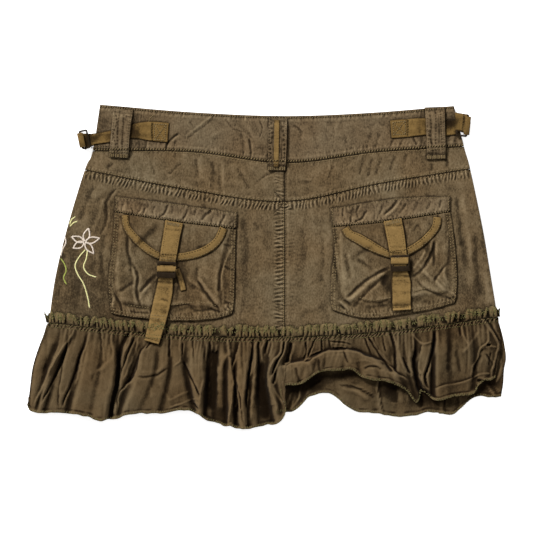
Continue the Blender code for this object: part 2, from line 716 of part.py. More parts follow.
def build_pocket(pocket):
    build_header(pocket)
    build_bag(pocket)
    build_flap(pocket)
    strip(
        f"pocket_strap_{pocket.side}", pocket.strap, POCKET_STRAP_GRID,
        lambda x, y, t, across: face_height(x, y) + STRAP_LIFT, WEBBING, WEBBING_TAN,
    )
    strip(
        f"pocket_tail_{pocket.side}", pocket.tail, TAIL_GRID,
        lambda x, y, t, across: tail_height(pocket, x, y), WEBBING, WEBBING_TAN,
    )
    if pocket.strap_end:
        strip(
            f"pocket_strap_end_{pocket.side}", pocket.strap_end, STRAP_END_GRID,
            lambda x, y, t, across: face_height(x, y) + GAP + WEBBING, WEBBING, WEBBING_TAN,
        )
    slot = SLIDER_LENGTH - SLIDER_TOP_BAR - SLIDER_LOWER_BAR
    slot_y = (SLIDER_LOWER_BAR - SLIDER_TOP_BAR) / 2
    add_plate(
        f"pocket_slider_{pocket.side}", (SLIDER_WIDTH, SLIDER_LENGTH),
        [(0, slot_y, SLIDER_WIDTH - 2 * SLIDER_RAIL, slot)],
        (
            pocket.slider.x, pocket.slider.y,
            face_height(pocket.slider.x, pocket.slider.y) + STRAP_LIFT + GAP + METAL / 2,
        ),
        pocket.slider.turn,
    )


# A line of a flounce runs from its seam to its hem along one place in a fold.
Line = namedtuple("Line", "seam_x mid_x hem_x hem_y mid_z hem_z tuck_y tuck_lap tuck_share")


def fold_lines(folds, ends):
    """The flounce's lines from left to right: three along each fold, one in each valley, and the ends."""
    left, right = ends
    lines = [Line(left.seam_x, left.mid_x, left.hem_x, left.hem_y, left.height, left.height, 0, 0, 0)]
    for i, fold in enumerate(folds):
        before = (folds[i - 1].seam_x if i else left.seam_x) + fold.seam_x
        after = (folds[i + 1].seam_x if i + 1 < len(folds) else right.seam_x) + fold.seam_x
        for side in (-1, 0, 1):
            gather = (fold.seam_x - before / 2) if side < 0 else (after / 2 - fold.seam_x)
            neighbour = folds[min(max(i + side, 0), len(folds) - 1)]
            fall = 1 - SHOULDER_FALL * abs(side)
            tuck, lap = fold.tuck_y or 0, fold.tuck_lap
            if side and fold.tuck_y and neighbour.tuck_y:
                tuck = mix(fold.tuck_y, neighbour.tuck_y, 0.3)
                lap = mix(fold.tuck_lap, neighbour.tuck_lap, 0.3)
            lines.append(
                Line(
                    fold.seam_x + side * gather / 2,
                    fold.mid_x + side * SHOULDER * fold.mid_width,
                    fold.hem_x + side * SHOULDER * fold.hem_width,
                    mix(fold.hem_y, neighbour.hem_y, 0.3),
                    mix(fold.valley, fold.mid_rise, fall),
                    mix(fold.valley, fold.hem_rise, fall),
                    tuck,
                    lap,
                    1 if fold.tuck_y else 0,
                )
            )
        if i + 1 == len(folds):
            break
        following = folds[i + 1]
        tucks = [f.tuck_y for f in (fold, following) if f.tuck_y]
        lines.append(
            Line(
                after / 2,
                (fold.mid_x + fold.mid_width / 2 + following.mid_x - following.mid_width / 2) / 2,
                (fold.hem_x + fold.hem_width / 2 + following.hem_x - following.hem_width / 2) / 2,
                (fold.hem_y + following.hem_y) / 2,
                fold.valley,
                fold.valley,
                sum(tucks) / max(len(tucks), 1),
                (fold.tuck_lap + following.tuck_lap) / 2,
                len(tucks) / 2,
            )
        )
    lines.append(
        Line(right.seam_x, right.mid_x, right.hem_x, right.hem_y, right.height, right.height, 0, 0, 0)
    )
    return lines


def flounce_point(line, down, seam_z):
    """The point at share down of a flounce line, with the sideways tuck where the line has one."""
    top_y = seam_y(FLOUNCE_SEAM, line.seam_x) - GAP
    plain_y = mix(top_y, line.hem_y, down)
    if down < RUFFLE_MID:
        plain_z = mix(seam_z, line.mid_z, ease(down / RUFFLE_MID))
    else:
        plain_z = mix(line.mid_z, line.hem_z, (down - RUFFLE_MID) / (1 - RUFFLE_MID))
    mid_share = RUFFLE_MID
    y, z = plain_y, plain_z
    if line.tuck_share:
        rows = [0] + [step.row for step in TUCK_STEPS]
        ys = [top_y] + [
            np.interp(step.place, (0, 1, 2), (top_y, line.tuck_y, line.hem_y)) - step.lap * line.tuck_lap
            for step in TUCK_STEPS
        ]
        swing = line.mid_z - TUCK_CREST
        heights = [seam_z] + [step.height + step.wave * swing for step in TUCK_STEPS]
        tuck_y, tuck_z = np.interp(down, rows, ys), np.interp(down, rows, heights)
        y, z = mix(plain_y, tuck_y, line.tuck_share), mix(plain_z, tuck_z, line.tuck_share)
        mid_share = mix(mid_share, (top_y - line.tuck_y) / (top_y - line.hem_y), line.tuck_share)
    fallen = (top_y - y) / (top_y - line.hem_y)
    x = spline((0, mid_share, 1), (line.seam_x, line.mid_x, line.hem_x), fallen)
    return x, float(y), float(z)


def add_flounce(name, folds, ends, rows, seam_height):
    lines = fold_lines(folds, ends)
    columns = len(lines) - 1

    def place(across, down):
        line = lines[round(across * columns)]
        return flounce_point(line, down, seam_height(line.seam_x, seam_y(FLOUNCE_SEAM, line.seam_x)))

    add_sheet(name, columns, rows, place, GATHERED, RUFFLE_OLIVE)


def build_flounce():
    add_flounce(
        "ruffle_back", BACK_FOLDS, BACK_ENDS, FLOUNCE_ROWS,
        lambda x, y: rolled(x, y, BACK_SIDE_TOP, RUFFLE_SEAM_TOP),
    )
    add_flounce(
        "ruffle_front", FRONT_FOLDS, FRONT_ENDS, FRONT_FLOUNCE_ROWS, lambda x, y: GATHERED
    )

    def frill(across, down):
        x, y = section_point(mix(FRILL_START, FRILL_END, across), FLOUNCE_SEAM)
        phase = 2 * math.pi * FRILL_WAVES * across
        wave = 0.75 * math.sin(phase) + 0.25 * math.sin(0.37 * phase + 1.0)
        swing = FRILL_SWING * mix(1.0, FRILL_FOOT, down)
        lift = body_height(x, y) + GAP + GATHERED + swing * (1 + wave)
        y += mix(FRILL_HEIGHT + FRILL_EDGE_SWING * math.cos(phase), GAP, down)
        return x, y, lift

    add_sheet("ruffle_heading", FRILL_WAVES * FRILL_STEPS, 1, frill, GATHERED, OVERLOCK_OLIVE)


def build():
    clear_scene()
    build_body()
    build_waist()
    for pocket in POCKETS:
        build_pocket(pocket)
    build_flounce()


build()
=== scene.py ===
"""Looks of a cargo utility skirt that lies flat on its front, with its back up.

+X is the wearer's right, +Y points from hem to waist and +Z points up from the surface.  The cloth is laid
over the solids of the frame: each piece is a fine sheet whose outline and height come from its solid, and
whose creases are listed in tables.  Lengths are in metres.  Those in names that end in _mm or _MM are in
millimetres, and so are the bare ones given to the functions that shape a sheet or lay stitches on it.
"""

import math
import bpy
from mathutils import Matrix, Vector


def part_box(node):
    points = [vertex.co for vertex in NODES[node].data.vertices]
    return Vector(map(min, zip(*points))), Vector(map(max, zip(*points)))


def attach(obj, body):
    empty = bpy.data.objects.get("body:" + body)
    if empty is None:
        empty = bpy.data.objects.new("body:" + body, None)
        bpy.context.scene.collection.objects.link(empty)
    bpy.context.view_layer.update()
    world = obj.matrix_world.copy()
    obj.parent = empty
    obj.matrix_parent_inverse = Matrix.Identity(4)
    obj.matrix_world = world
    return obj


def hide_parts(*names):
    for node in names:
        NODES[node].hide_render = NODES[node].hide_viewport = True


bl_info = {
    "name": "Cargo Utility Skirt",
    "version": (1, 0, 0),
    "blender": (4, 5, 0),
    "location": "3D View > Sidebar > Skirt",
    "description": "Dresses the laid-out skirt in washed twill, webbing, thread and metal",
    "category": "Object",
}

from collections import namedtuple

import bmesh
import bpy
import numpy as np
from bpy.props import FloatProperty, FloatVectorProperty, PointerProperty
from bpy.types import Operator, Panel, PropertyGroup
from mathutils import Matrix, Vector
from mathutils.bvhtree import BVHTree

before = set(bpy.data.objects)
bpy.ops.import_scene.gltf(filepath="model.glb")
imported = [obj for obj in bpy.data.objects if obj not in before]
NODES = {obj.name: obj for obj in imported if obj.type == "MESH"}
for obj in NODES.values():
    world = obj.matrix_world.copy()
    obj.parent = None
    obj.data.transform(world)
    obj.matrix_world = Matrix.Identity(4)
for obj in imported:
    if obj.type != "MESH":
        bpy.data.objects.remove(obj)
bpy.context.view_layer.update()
ROOT = "root"

MM = 0.001

# Creases and stitch lines are drawn on a squared sheet laid over the skirt: columns count to the right
# and rows count down, and the middle square lies over the origin.
SQUARE = 1.1 * MM
MIDDLE_COLUMN = 266.0
MIDDLE_ROW = 266.5

# How far apart the points of each kind of sheet are
PANEL_STEP = 1.5 * MM
BAND_STEP = 1.0 * MM
POCKET_STEP = 1.0 * MM
STRAP_STEP = 0.9 * MM
LOOP_STEP = 0.7 * MM
FLOUNCE_STEP = 1.08 * MM
FRONT_STEP = 6.0 * MM
FRONT_FLOUNCE_STEP = 2.0 * MM

# Walls
CLOTH_WALL = 0.9 * MM
BAND_WALL = 1.8 * MM
WEBBING_WALL = 1.2 * MM
TAPE_WALL = 0.8 * MM

# ------------------------------------------------------------------------------------- creases

# A ridge stands high over a width; a groove is deep over a width; a lap is a layer that lies over
# another, with the upper one to the left of the path.  Paths are in squares, the rest in millimetres.
Relief = namedtuple("Relief", "kind path rise_mm width_mm fall_mm")


def ridge(rise_mm, width_mm, *path):
    return Relief("ridge", path, rise_mm, width_mm, 0.0)


def groove(depth_mm, width_mm, *path):
    return Relief("groove", path, depth_mm, width_mm, 0.0)


def lap(over_mm, under_mm, width_mm, *path):
    return Relief("lap", path, over_mm, width_mm, under_mm)


BAND_CREASES = [
    groove(0.3, 1.2, (215, 118), (201, 128.5), (186, 139.5)),
    ridge(0.5, 1.5, (213, 115), (199, 126), (184, 137)),
    groove(0.9, 1.2, (179, 133.5), (170.5, 140), (166.8, 146), (166.2, 152)),
    groove(0.8, 1.1, (176.5, 139), (174, 146), (173.6, 152)),
    ridge(0.4, 1.6, (182, 136), (171.5, 143), (169.8, 151)),
    groove(0.5, 1.1, (224, 118), (232, 128), (243, 133)),
    ridge(0.3, 1.8, (208, 138), (222, 131), (238, 127)),
    groove(0.4, 1.4, (292, 124), (300, 131), (300, 142)),
    ridge(0.3, 1.6, (322, 121), (330, 132), (344, 138)),
    groove(0.4, 1.2, (352, 118), (358, 126), (370, 128)),
    groove(0.5, 1.0, (258, 119), (262, 128), (259, 138)),
    groove(0.7, 1.2, (248, 138), (250.5, 150), (251, 159)),
    groove(0.4, 2.2, (240, 132), (243, 145), (243, 156)),
    groove(0.4, 2.0, (369, 134), (365, 150)),
    groove(0.4, 2.0, (379, 132), (375, 149)),
    groove(0.5, 1.4, (392, 140), (388, 150)),
    groove(0.5, 1.4, (402, 139), (398, 149)),
    groove(0.6, 1.2, (412, 137), (416, 146)),
    groove(0.5, 1.5, (449, 135), (447, 148)),
    groove(0.5, 1.5, (456, 134), (455, 147)),
    groove(0.5, 1.6, (146, 141), (145, 151)),
    groove(0.4, 2.5, (190, 120), (196, 134)),
    groove(0.3, 3.0, (310, 125), (318, 150)),
    groove(0.3, 3.0, (340, 120), (346, 146)),
]

YOKE_CREASES = [
    groove(0.7, 1.4, (182, 163), (173, 170), (170, 174), (167, 171)),
    groove(0.5, 1.8, (150, 160), (155, 176)),
    groove(0.4, 2.6, (196, 157), (198, 180)),
    groove(0.4, 2.6, (212, 160), (214, 184)),
    ridge(0.4, 2.4, (222, 160), (223, 186)),
    groove(0.4, 3.0, (236, 166), (250, 190)),
    groove(0.5, 1.2, (274, 172), (262, 178), (252, 186)),
    groove(0.5, 1.5, (296, 181), (312, 182)),
    groove(0.5, 2.0, (364, 158), (358, 176)),
    groove(0.5, 2.0, (372, 158), (367, 178)),
    groove(0.5, 2.0, (381, 156), (375, 176)),
    groove(0.4, 2.2, (395, 155), (389, 172)),
    groove(0.5, 1.6, (334, 165), (326, 180)),
    groove(0.4, 2.5, (406, 153), (402, 170)),
    groove(0.5, 2.0, (432, 163), (430, 172)),
    groove(0.5, 2.0, (447, 152), (446, 168)),
    groove(0.6, 2.5, (113, 163), (106, 170)),
]

PANEL_CREASES = [
    groove(1.0, 1.6, (117, 187), (107, 201), (106, 220), (100, 236)),
    ridge(0.6, 3.0, (103, 196), (99, 215), (92, 232)),
    groove(0.7, 4.0, (94, 186), (86, 204), (78, 222)),
    groove(0.5, 3.0, (104, 232), (101, 256), (104, 280)),
    ridge(0.5, 3.5, (98, 250), (97, 275), (100, 300)),
    groove(0.6, 3.0, (64, 250), (61, 280), (58, 300)),
    groove(0.5, 5.0, (243, 215), (246, 245), (244, 280)),
    ridge(0.4, 6.0, (258, 225), (262, 260), (258, 300)),
    groove(0.4, 5.0, (300, 220), (304, 250), (300, 290)),
    groove(0.5, 4.0, (318, 215), (322, 250), (320, 290)),
    ridge(0.8, 4.0, (462, 190), (466, 225), (470, 270)),
    groove(0.9, 3.0, (456, 196), (459, 226), (461, 250)),
    groove(0.6, 3.5, (474, 230), (476, 262), (480, 300)),
    ridge(0.5, 3.5, (484, 262), (487, 290), (490, 305)),
]

HEADER_CREASES = [
    groove(0.9, 1.2, (131, 207), (132.4, 213), (132.6, 219)),
    groove(1.0, 1.1, (145, 207.5), (144, 213), (142.4, 219)),
    groove(0.6, 1.4, (155, 206), (151, 215)),
    groove(1.0, 1.3, (168, 204), (163.5, 214), (158, 219)),
    groove(0.9, 1.3, (187, 208), (185.3, 215.5), (180, 222)),
    groove(0.6, 1.4, (198, 206), (194, 214)),
    groove(0.8, 1.6, (213, 208), (206, 215), (200, 221)),
    groove(0.8, 1.3, (225, 214), (220, 224)),
    groove(0.6, 1.2, (212, 218), (210.5, 228)),
    groove(0.6, 1.2, (233, 220), (227, 226)),
    groove(0.6, 1.2, (123, 204), (121, 211)),
    groove(0.9, 1.1, (342.5, 208), (342.5, 217)),
    groove(0.8, 1.1, (349.5, 216), (350.8, 223)),
    groove(0.9, 1.2, (358.6, 205), (355.8, 212.7), (357.5, 219)),
    groove(0.9, 1.3, (366, 210), (362, 217.5), (352.5, 223.5)),
    groove(0.7, 1.2, (373.5, 214), (373.5, 222)),
    groove(0.7, 1.3, (382, 205), (378, 215)),
    groove(1.1, 1.3, (397, 198.5), (391, 208), (381.5, 216)),
    ridge(0.7, 1.6, (400, 200), (394, 209), (384.5, 217)),
    groove(0.6, 1.4, (406, 203), (398, 214)),
    groove(0.6, 1.6, (418, 202), (412, 212)),
    groove(0.6, 1.6, (430, 201), (426, 210)),
    groove(0.6, 1.6, (441, 200), (438, 209)),
]

POCKET_CREASES = [
    # Left pocket
    groove(1.0, 1.6, (127.4, 234), (127.9, 252), (130.5, 263), (131.8, 274)),
    groove(1.9, 1.2, (131, 261), (137.9, 276.6), (136.8, 290), (141, 309)),
    ridge(1.0, 1.6, (129, 262), (135, 277), (134, 291), (137.5, 306)),
    groove(1.5, 1.5, (157.5, 273.5), (145.3, 286), (140, 293)),
    groove(0.8, 1.8, (134.5, 282), (118, 292)),
    ridge(0.7, 2.2, (152, 283), (143, 291), (139.5, 300)),
    groove(1.7, 1.1, (195.5, 278), (205.3, 292.4), (221, 311.5)),
    ridge(0.9, 1.5, (198.5, 277), (208, 290), (222, 307)),
    groove(0.7, 2.0, (183, 277.5), (206, 295)),
    groove(0.6, 1.8, (197, 266), (195.6, 281)),
    ridge(0.6, 2.2, (189, 280), (206, 300)),
    ridge(1.1, 0.9, (235.5, 224), (231.6, 248), (225.5, 260.5), (221.4, 274.5), (222.3, 291), (222.2, 313)),
    groove(2.2, 1.0, (222.4, 262), (219.8, 274.5), (218.6, 293)),
    groove(1.2, 0.9, (224, 301.5), (232.5, 304.5)),
    groove(0.9, 0.9, (223, 266), (233, 270)),
    groove(0.9, 1.0, (222, 244), (231, 246)),
    groove(1.0, 0.9, (170, 306.8), (190.5, 306.2), (192, 308.5), (199, 310.5), (212, 309.4), (220, 311.8)),
    groove(1.6, 1.0, (209, 307.5), (221, 312)),
    groove(1.3, 1.0, (129.5, 311.5), (149, 312.5)),
    groove(0.9, 1.1, (122, 303.5), (147, 308.5)),
    groove(1.0, 1.0, (118, 315), (149, 319)),
    groove(1.5, 1.0, (110, 282), (116, 296.6), (121, 306), (122.3, 313)),
    ridge(1.2, 1.2, (111.4, 284), (114.4, 296), (111.8, 309)),
    groove(1.0, 1.0, (112, 298), (109, 306)),
    ridge(1.2, 1.1, (224, 305), (228, 309), (226, 314)),
    groove(1.4, 1.0, (227, 305), (231, 311)),
    ridge(1.0, 1.0, (229.5, 306), (234, 311)),
    groove(0.7, 1.6, (160, 290), (166, 303)),
    groove(0.5, 2.5, (178, 285), (176, 302)),
    # Right pocket
    groove(2.0, 1.1, (390, 267.5), (373.6, 274.9), (358.3, 286.4), (344.5, 299.5)),
    ridge(1.5, 1.9, (388, 271), (374.5, 278.6), (360.5, 289.8), (347.5, 303)),
    groove(1.1, 1.3, (386.5, 275.5), (375, 284), (361.5, 297), (352, 309)),
    groove(1.4, 2.4, (387.5, 275), (382, 286)),
    groove(1.1, 0.9, (356, 298), (366, 301.4), (379.5, 301.8), (390.5, 298.8)),
    groove(0.6, 1.6, (364, 307.5), (388, 304.8)),
    groove(1.7, 1.3, (410.5, 278), (421.4, 268.2), (430, 253), (435, 237)),
    groove(1.4, 1.2, (433.2, 240), (433, 268)),
    ridge(1.0, 1.8, (425, 250), (418, 262), (411, 270)),
    ridge(1.2, 1.0, (418, 262.5), (427, 275.9), (434, 281.5)),
    groove(1.7, 1.0, (414.5, 278.5), (424.3, 288.5), (443.5, 295.5)),
    groove(1.4, 1.0, (446, 263.4), (438.6, 273), (432.5, 281.5)),
    ridge(1.1, 1.4, (434, 280), (445, 293)),
    ridge(0.9, 1.3, (441.5, 266), (437, 276), (446, 287)),
    ridge(0.8, 1.0, (447.2, 226), (445.3, 261.5), (443.4, 275.9), (448.2, 284.5), (454.5, 293)),
    ridge(0.8, 1.0, (334.3, 240), (338.2, 271), (341, 290.2), (340, 300)),
    groove(1.4, 1.0, (332.2, 244), (334.3, 261.5), (337.2, 282)),
    ridge(1.2, 1.2, (338, 300), (344, 305), (349, 311)),
    groove(1.3, 1.0, (339, 304), (346, 310)),
    groove(1.2, 1.0, (343, 299), (351, 305.5)),
    groove(1.0, 0.9, (410.5, 293.4), (425.2, 289.6), (431, 291.5), (444, 297.2)),
    ridge(1.2, 1.0, (446, 291), (452, 293), (456, 298)),
    groove(1.5, 1.0, (444, 296), (449, 298), (454, 295.5)),
    groove(0.6, 2.2, (356, 258), (372, 270)),
    groove(0.5, 2.4, (345, 252), (350, 280)),
    groove(0.7, 1.2, (412, 232), (417, 225), (420, 231)),
]

FLOUNCE_CREASES = [
    groove(0.7, 3.0, (60, 341), (51, 359), (42, 374)),
    ridge(2.4, 1.5, (76, 325), (71, 336), (55.7, 360), (46, 379), (36, 402), (33, 411)),
    groove(2.4, 1.1, (69, 336), (65, 351), (61.5, 362), (50, 386), (41, 404)),
    lap(1.2, 1.0, 3.0, (70, 332), (65.9, 355), (62.5, 369), (60.2, 381), (59, 410)),
    groove(2.4, 1.1, (87, 332), (84.5, 346), (79, 358), (76.6, 369), (73, 379), (65, 398), (61, 409)),
    ridge(1.6, 1.7, (89, 326), (88.5, 338), (84, 349.4), (81, 364), (77.5, 376), (71, 394)),
    groove(1.0, 1.2, (100.4, 327), (101.5, 352)),
    ridge(
        2.0, 1.5,
        (112, 327), (112, 342.5), (114.5, 354), (115.2, 364), (114, 380), (110, 398), (107.5, 417),
    ),
    ridge(0.8, 2.5, (114, 355), (102.7, 367.7), (88, 374)),
    groove(0.6, 2.2, (106, 360), (95, 371), (92, 382)),
    groove(6.0, 2.4, (119.5, 350), (118.5, 366), (116.6, 384), (112.5, 400), (111.3, 420)),
    groove(3.0, 2.6, (129, 333), (122, 346), (120, 358)),
    ridge(1.6, 1.0, (132, 330), (130.2, 342.5), (123.3, 354), (120.5, 362)),
    groove(2.6, 1.2, (135, 335), (127, 355), (120.5, 375)),
    ridge(1.5, 1.5, (138.6, 333), (135.9, 349), (130.2, 364), (122.5, 384)),
    groove(2.6, 1.1, (142.5, 347), (138.6, 356), (134.4, 369), (128, 384)),
    lap(
        2.2, 1.6, 2.6,
        (150.5, 341), (142, 350), (137, 369), (132.5, 378), (126, 385), (119.5, 392.5), (116.5, 414),
    ),
    groove(3.0, 1.0, (145.5, 348.5), (151.5, 341.5)),
    groove(1.1, 1.3, (135, 376), (146, 376.2), (157, 374), (168, 367)),
    ridge(0.6, 2.0, (140, 372), (157, 370), (167, 363)),
    ridge(0.8, 1.6, (167, 401), (179, 395), (191, 390)),
    ridge(0.6, 2.0, (159, 381), (164, 391), (170, 402)),
    ridge(0.5, 2.0, (150, 383), (152, 398)),
    groove(2.2, 1.0, (169.2, 336), (169.2, 358)),
    ridge(1.3, 1.1, (181, 335), (179.4, 348), (181.8, 355), (180, 360.5), (171.5, 367)),
    groove(2.4, 0.8, (182.4, 342), (181.6, 361)),
    groove(2.2, 0.9, (182.5, 360), (189.9, 374.6), (200, 396)),
    lap(1.3, 0.8, 2.6, (183.5, 361), (190.5, 374.6), (200.5, 397)),
    groove(1.3, 0.8, (192.2, 336), (193.3, 359)),
    ridge(1.2, 1.1, (166, 408.5), (180.7, 403.3), (195, 398.7), (201, 400.5)),
    groove(2.2, 1.2, (193, 402), (199.5, 410)),
    ridge(1.6, 1.5, (205.5, 334), (205.6, 364), (204, 378), (201.4, 391), (199.6, 403), (198, 414)),
    groove(6.5, 6.2, (215, 346), (214, 368), (213, 390), (212, 412)),
    ridge(2.8, 1.3, (217.5, 343), (214.6, 359), (218, 370)),
    ridge(1.6, 2.4, (226.5, 338), (226, 354), (220.2, 369), (219, 384)),
    groove(3.0, 1.2, (210, 340), (209.5, 366), (205.5, 392)),
    ridge(4.0, 1.4, (228, 333), (229, 355), (231, 369), (233, 381), (232, 396), (229.4, 415), (227.5, 426)),
    groove(3.4, 1.1, (233.5, 384), (236, 394), (237.6, 413)),
    ridge(1.4, 1.2, (234, 408), (238, 402), (241, 412)),
    lap(
        2.6, 1.6, 3.2,
        (241.5, 336), (235.4, 355), (232.6, 365), (235.2, 380), (239.7, 394), (242, 409), (244, 432),
    ),
    lap(2.4, 2.0, 3.0, (243.5, 406), (245, 392), (247.2, 373.5), (250.8, 353), (251.4, 334)),
    groove(3.6, 1.2, (252, 338), (252, 353), (248.4, 374), (246, 394), (246, 410)),
    ridge(2.2, 2.4, (254.8, 337), (254.8, 373.5), (252, 395), (250, 424)),
    groove(2.5, 1.2, (258, 340), (258, 366)),
    ridge(1.6, 1.2, (265, 338), (261, 353), (262, 362)),
    groove(3.4, 1.2, (268, 339), (264.5, 354)),
    ridge(1.4, 1.2, (272, 336), (271, 350), (268, 358)),
    groove(6.0, 4.6, (261.5, 360), (262, 380), (264, 400), (266, 420)),
    ridge(
        3.6, 1.5,
        (281.5, 336), (279.9, 352), (270.9, 364), (267.4, 376), (268.6, 387), (275.5, 403), (277.8, 419),
    ),
    ridge(3.0, 1.2, (285.5, 336), (284.3, 352), (278, 362.5), (273.6, 371.5), (272.4, 383)),
    groove(3.6, 0.9, (283.8, 340), (281.5, 353), (274.4, 366), (271, 376)),
    groove(4.5, 1.5, (275.3, 372), (272.4, 384)),
    ridge(1.4, 1.2, (273, 386), (277.5, 396), (283.5, 405)),
    groove(5.5, 1.7, (291.3, 342), (289.3, 352), (285.6, 363)),
    groove(2.4, 0.9, (305.1, 341), (305.3, 354), (302.4, 361)),
    groove(2.0, 0.9, (314.6, 338), (307.4, 357)),
    groove(2.4, 0.9, (321.2, 337), (321.9, 353)),
    groove(1.8, 0.9, (327.6, 337), (330.6, 351)),
    groove(1.4, 1.0, (328.5, 341.2), (340, 342), (352, 345)),
    groove(1.5, 1.0, (331, 347.6), (343, 348.2), (352, 349.6)),
    lap(
        2.6, 2.6, 3.0, (412, 381), (397.4, 373.5), (382.5, 360.5), (367, 356.3), (357.2, 351.7),
        (348, 349.6), (339.6, 349.2), (329, 350), (317.8, 354), (307, 361), (302.8, 360.8),
        (283.3, 365.4), (273.5, 368),
    ),
    groove(3.0, 1.2, (304, 361.5), (313, 355), (322, 351.6)),
    groove(2.6, 1.0, (332, 348.9), (346, 349.2)),
    groove(1.6, 1.0, (342.3, 349), (347.5, 363)),
    ridge(0.9, 1.4, (345.5, 350), (351, 364)),
    groove(1.1, 1.8, (317.5, 358), (320.5, 375)),
    ridge(0.8, 2.0, (309, 362), (313, 377)),
    groove(0.8, 1.8, (295, 366), (299, 383)),
    groove(1.1, 1.3, (362, 368), (373.3, 365.6), (382, 369.5)),
    ridge(0.7, 1.8, (352, 361), (368, 360.5), (384, 372)),
    groove(3.8, 1.3, (390, 330), (393.6, 348), (395.4, 374)),
    ridge(2.2, 1.3, (397.6, 330), (397.8, 350.5), (404.6, 369), (409, 377)),
    groove(2.6, 0.9, (401, 356), (409.6, 373.5)),
    groove(2.6, 0.9, (366.6, 335), (379, 355), (390.5, 370.5)),
    groove(1.5, 0.8, (363, 335), (371.4, 357)),
    groove(1.3, 0.9, (372, 336), (378.6, 351)),
    ridge(1.0, 1.2, (369, 336), (381, 353), (392, 368)),
    groove(1.8, 0.9, (381, 334), (385, 352)),
    ridge(1.6, 1.3, (410, 329), (413, 348), (410.4, 365), (413, 378)),
    groove(6.0, 2.2, (415.2, 348), (413.4, 364), (415.6, 375), (419, 387), (430, 396)),
    ridge(1.2, 1.2, (411, 333), (422.2, 343.4), (433, 341)),
    lap(1.6, 1.0, 2.4, (422, 341), (417.6, 360), (419, 380), (431, 392)),
    groove(4.2, 1.4, (434.4, 329), (433.4, 346), (428.6, 362), (424.6, 377), (427, 390)),
    groove(1.6, 3.0, (449, 324), (448.4, 346), (447, 374)),
    groove(1.6, 0.9, (458.6, 324), (459.6, 336)),
    ridge(1.0, 1.3, (460.6, 325), (461.8, 333.5), (467, 345)),
    ridge(1.0, 2.0, (478.5, 331), (468.8, 343.6), (461, 354)),
    groove(0.8, 2.4, (455, 348), (459, 374)),
    lap(1.4, 0.8, 2.2, (475, 376), (467.4, 379.2), (445.6, 383.8), (430.5, 389)),
    ridge(2.8, 1.4, (477, 314), (487.4, 326.5), (497, 342.5), (494.8, 357.4), (491.4, 369), (490, 383)),
    groove(2.4, 1.3, (483, 315), (492, 328), (500, 343)),
    ridge(2.2, 1.2, (486, 326), (485.8, 343), (479, 348.4), (476.6, 357.4), (471, 369), (469.5, 382)),
    groove(1.8, 2.2, (480.8, 354), (474.6, 366), (473, 372)),
    ridge(1.2, 1.1, (478, 349), (488, 345.8), (496.5, 347.5)),
    groove(2.4, 1.4, (485.4, 343.6), (489.6, 344.8)),
    groove(1.3, 1.0, (484.6, 353), (493, 366)),
    groove(1.2, 1.0, (489.5, 352), (488, 366)),
    ridge(1.4, 1.2, (472, 378), (476.6, 374.8), (490, 373.2)),
    groove(3.4, 1.6, (475.5, 380), (491, 381.5)),
]

FRONT_FLOUNCE_CREASES = [
    ridge(1.6, 1.4, (318, 372), (300.5, 387.2), (298.2, 398.7), (287, 412)),
    groove(1.6, 1.6, (322, 380), (305, 391), (300, 405)),
    ridge(1.0, 1.2, (291, 392), (286, 405)),
    groove(1.2, 1.2, (294, 392), (290, 406)),
    groove(1.3, 1.2, (338, 384), (352, 386.5), (364, 391), (375, 398)),
    ridge(1.0, 2.0, (340, 388), (354, 391), (370, 400)),
    lap(1.6, 1.0, 3.0, (381.5, 415), (378.6, 395), (377.6, 378)),
    groove(2.2, 4.0, (394, 383), (395, 403)),
    ridge(1.2, 2.4, (404, 384), (408, 404)),
    groove(1.8, 3.0, (422, 388), (421, 408)),
    ridge(0.8, 3.0, (440, 400), (441, 416)),
    groove(0.8, 1.2, (443.5, 396), (444.5, 414)),
    groove(1.0, 1.6, (458, 396), (457, 412)),
    groove(1.6, 1.4, (488, 382), (498, 394)),
    ridge(1.2, 1.2, (485, 383), (495, 397)),
    groove(1.6, 1.6, (500, 334), (499, 352), (503, 356)),
    ridge(1.2, 1.5, (499, 356), (500, 372), (494, 384)),
    groove(1.0, 1.5, (503, 348), (500, 360)),
]
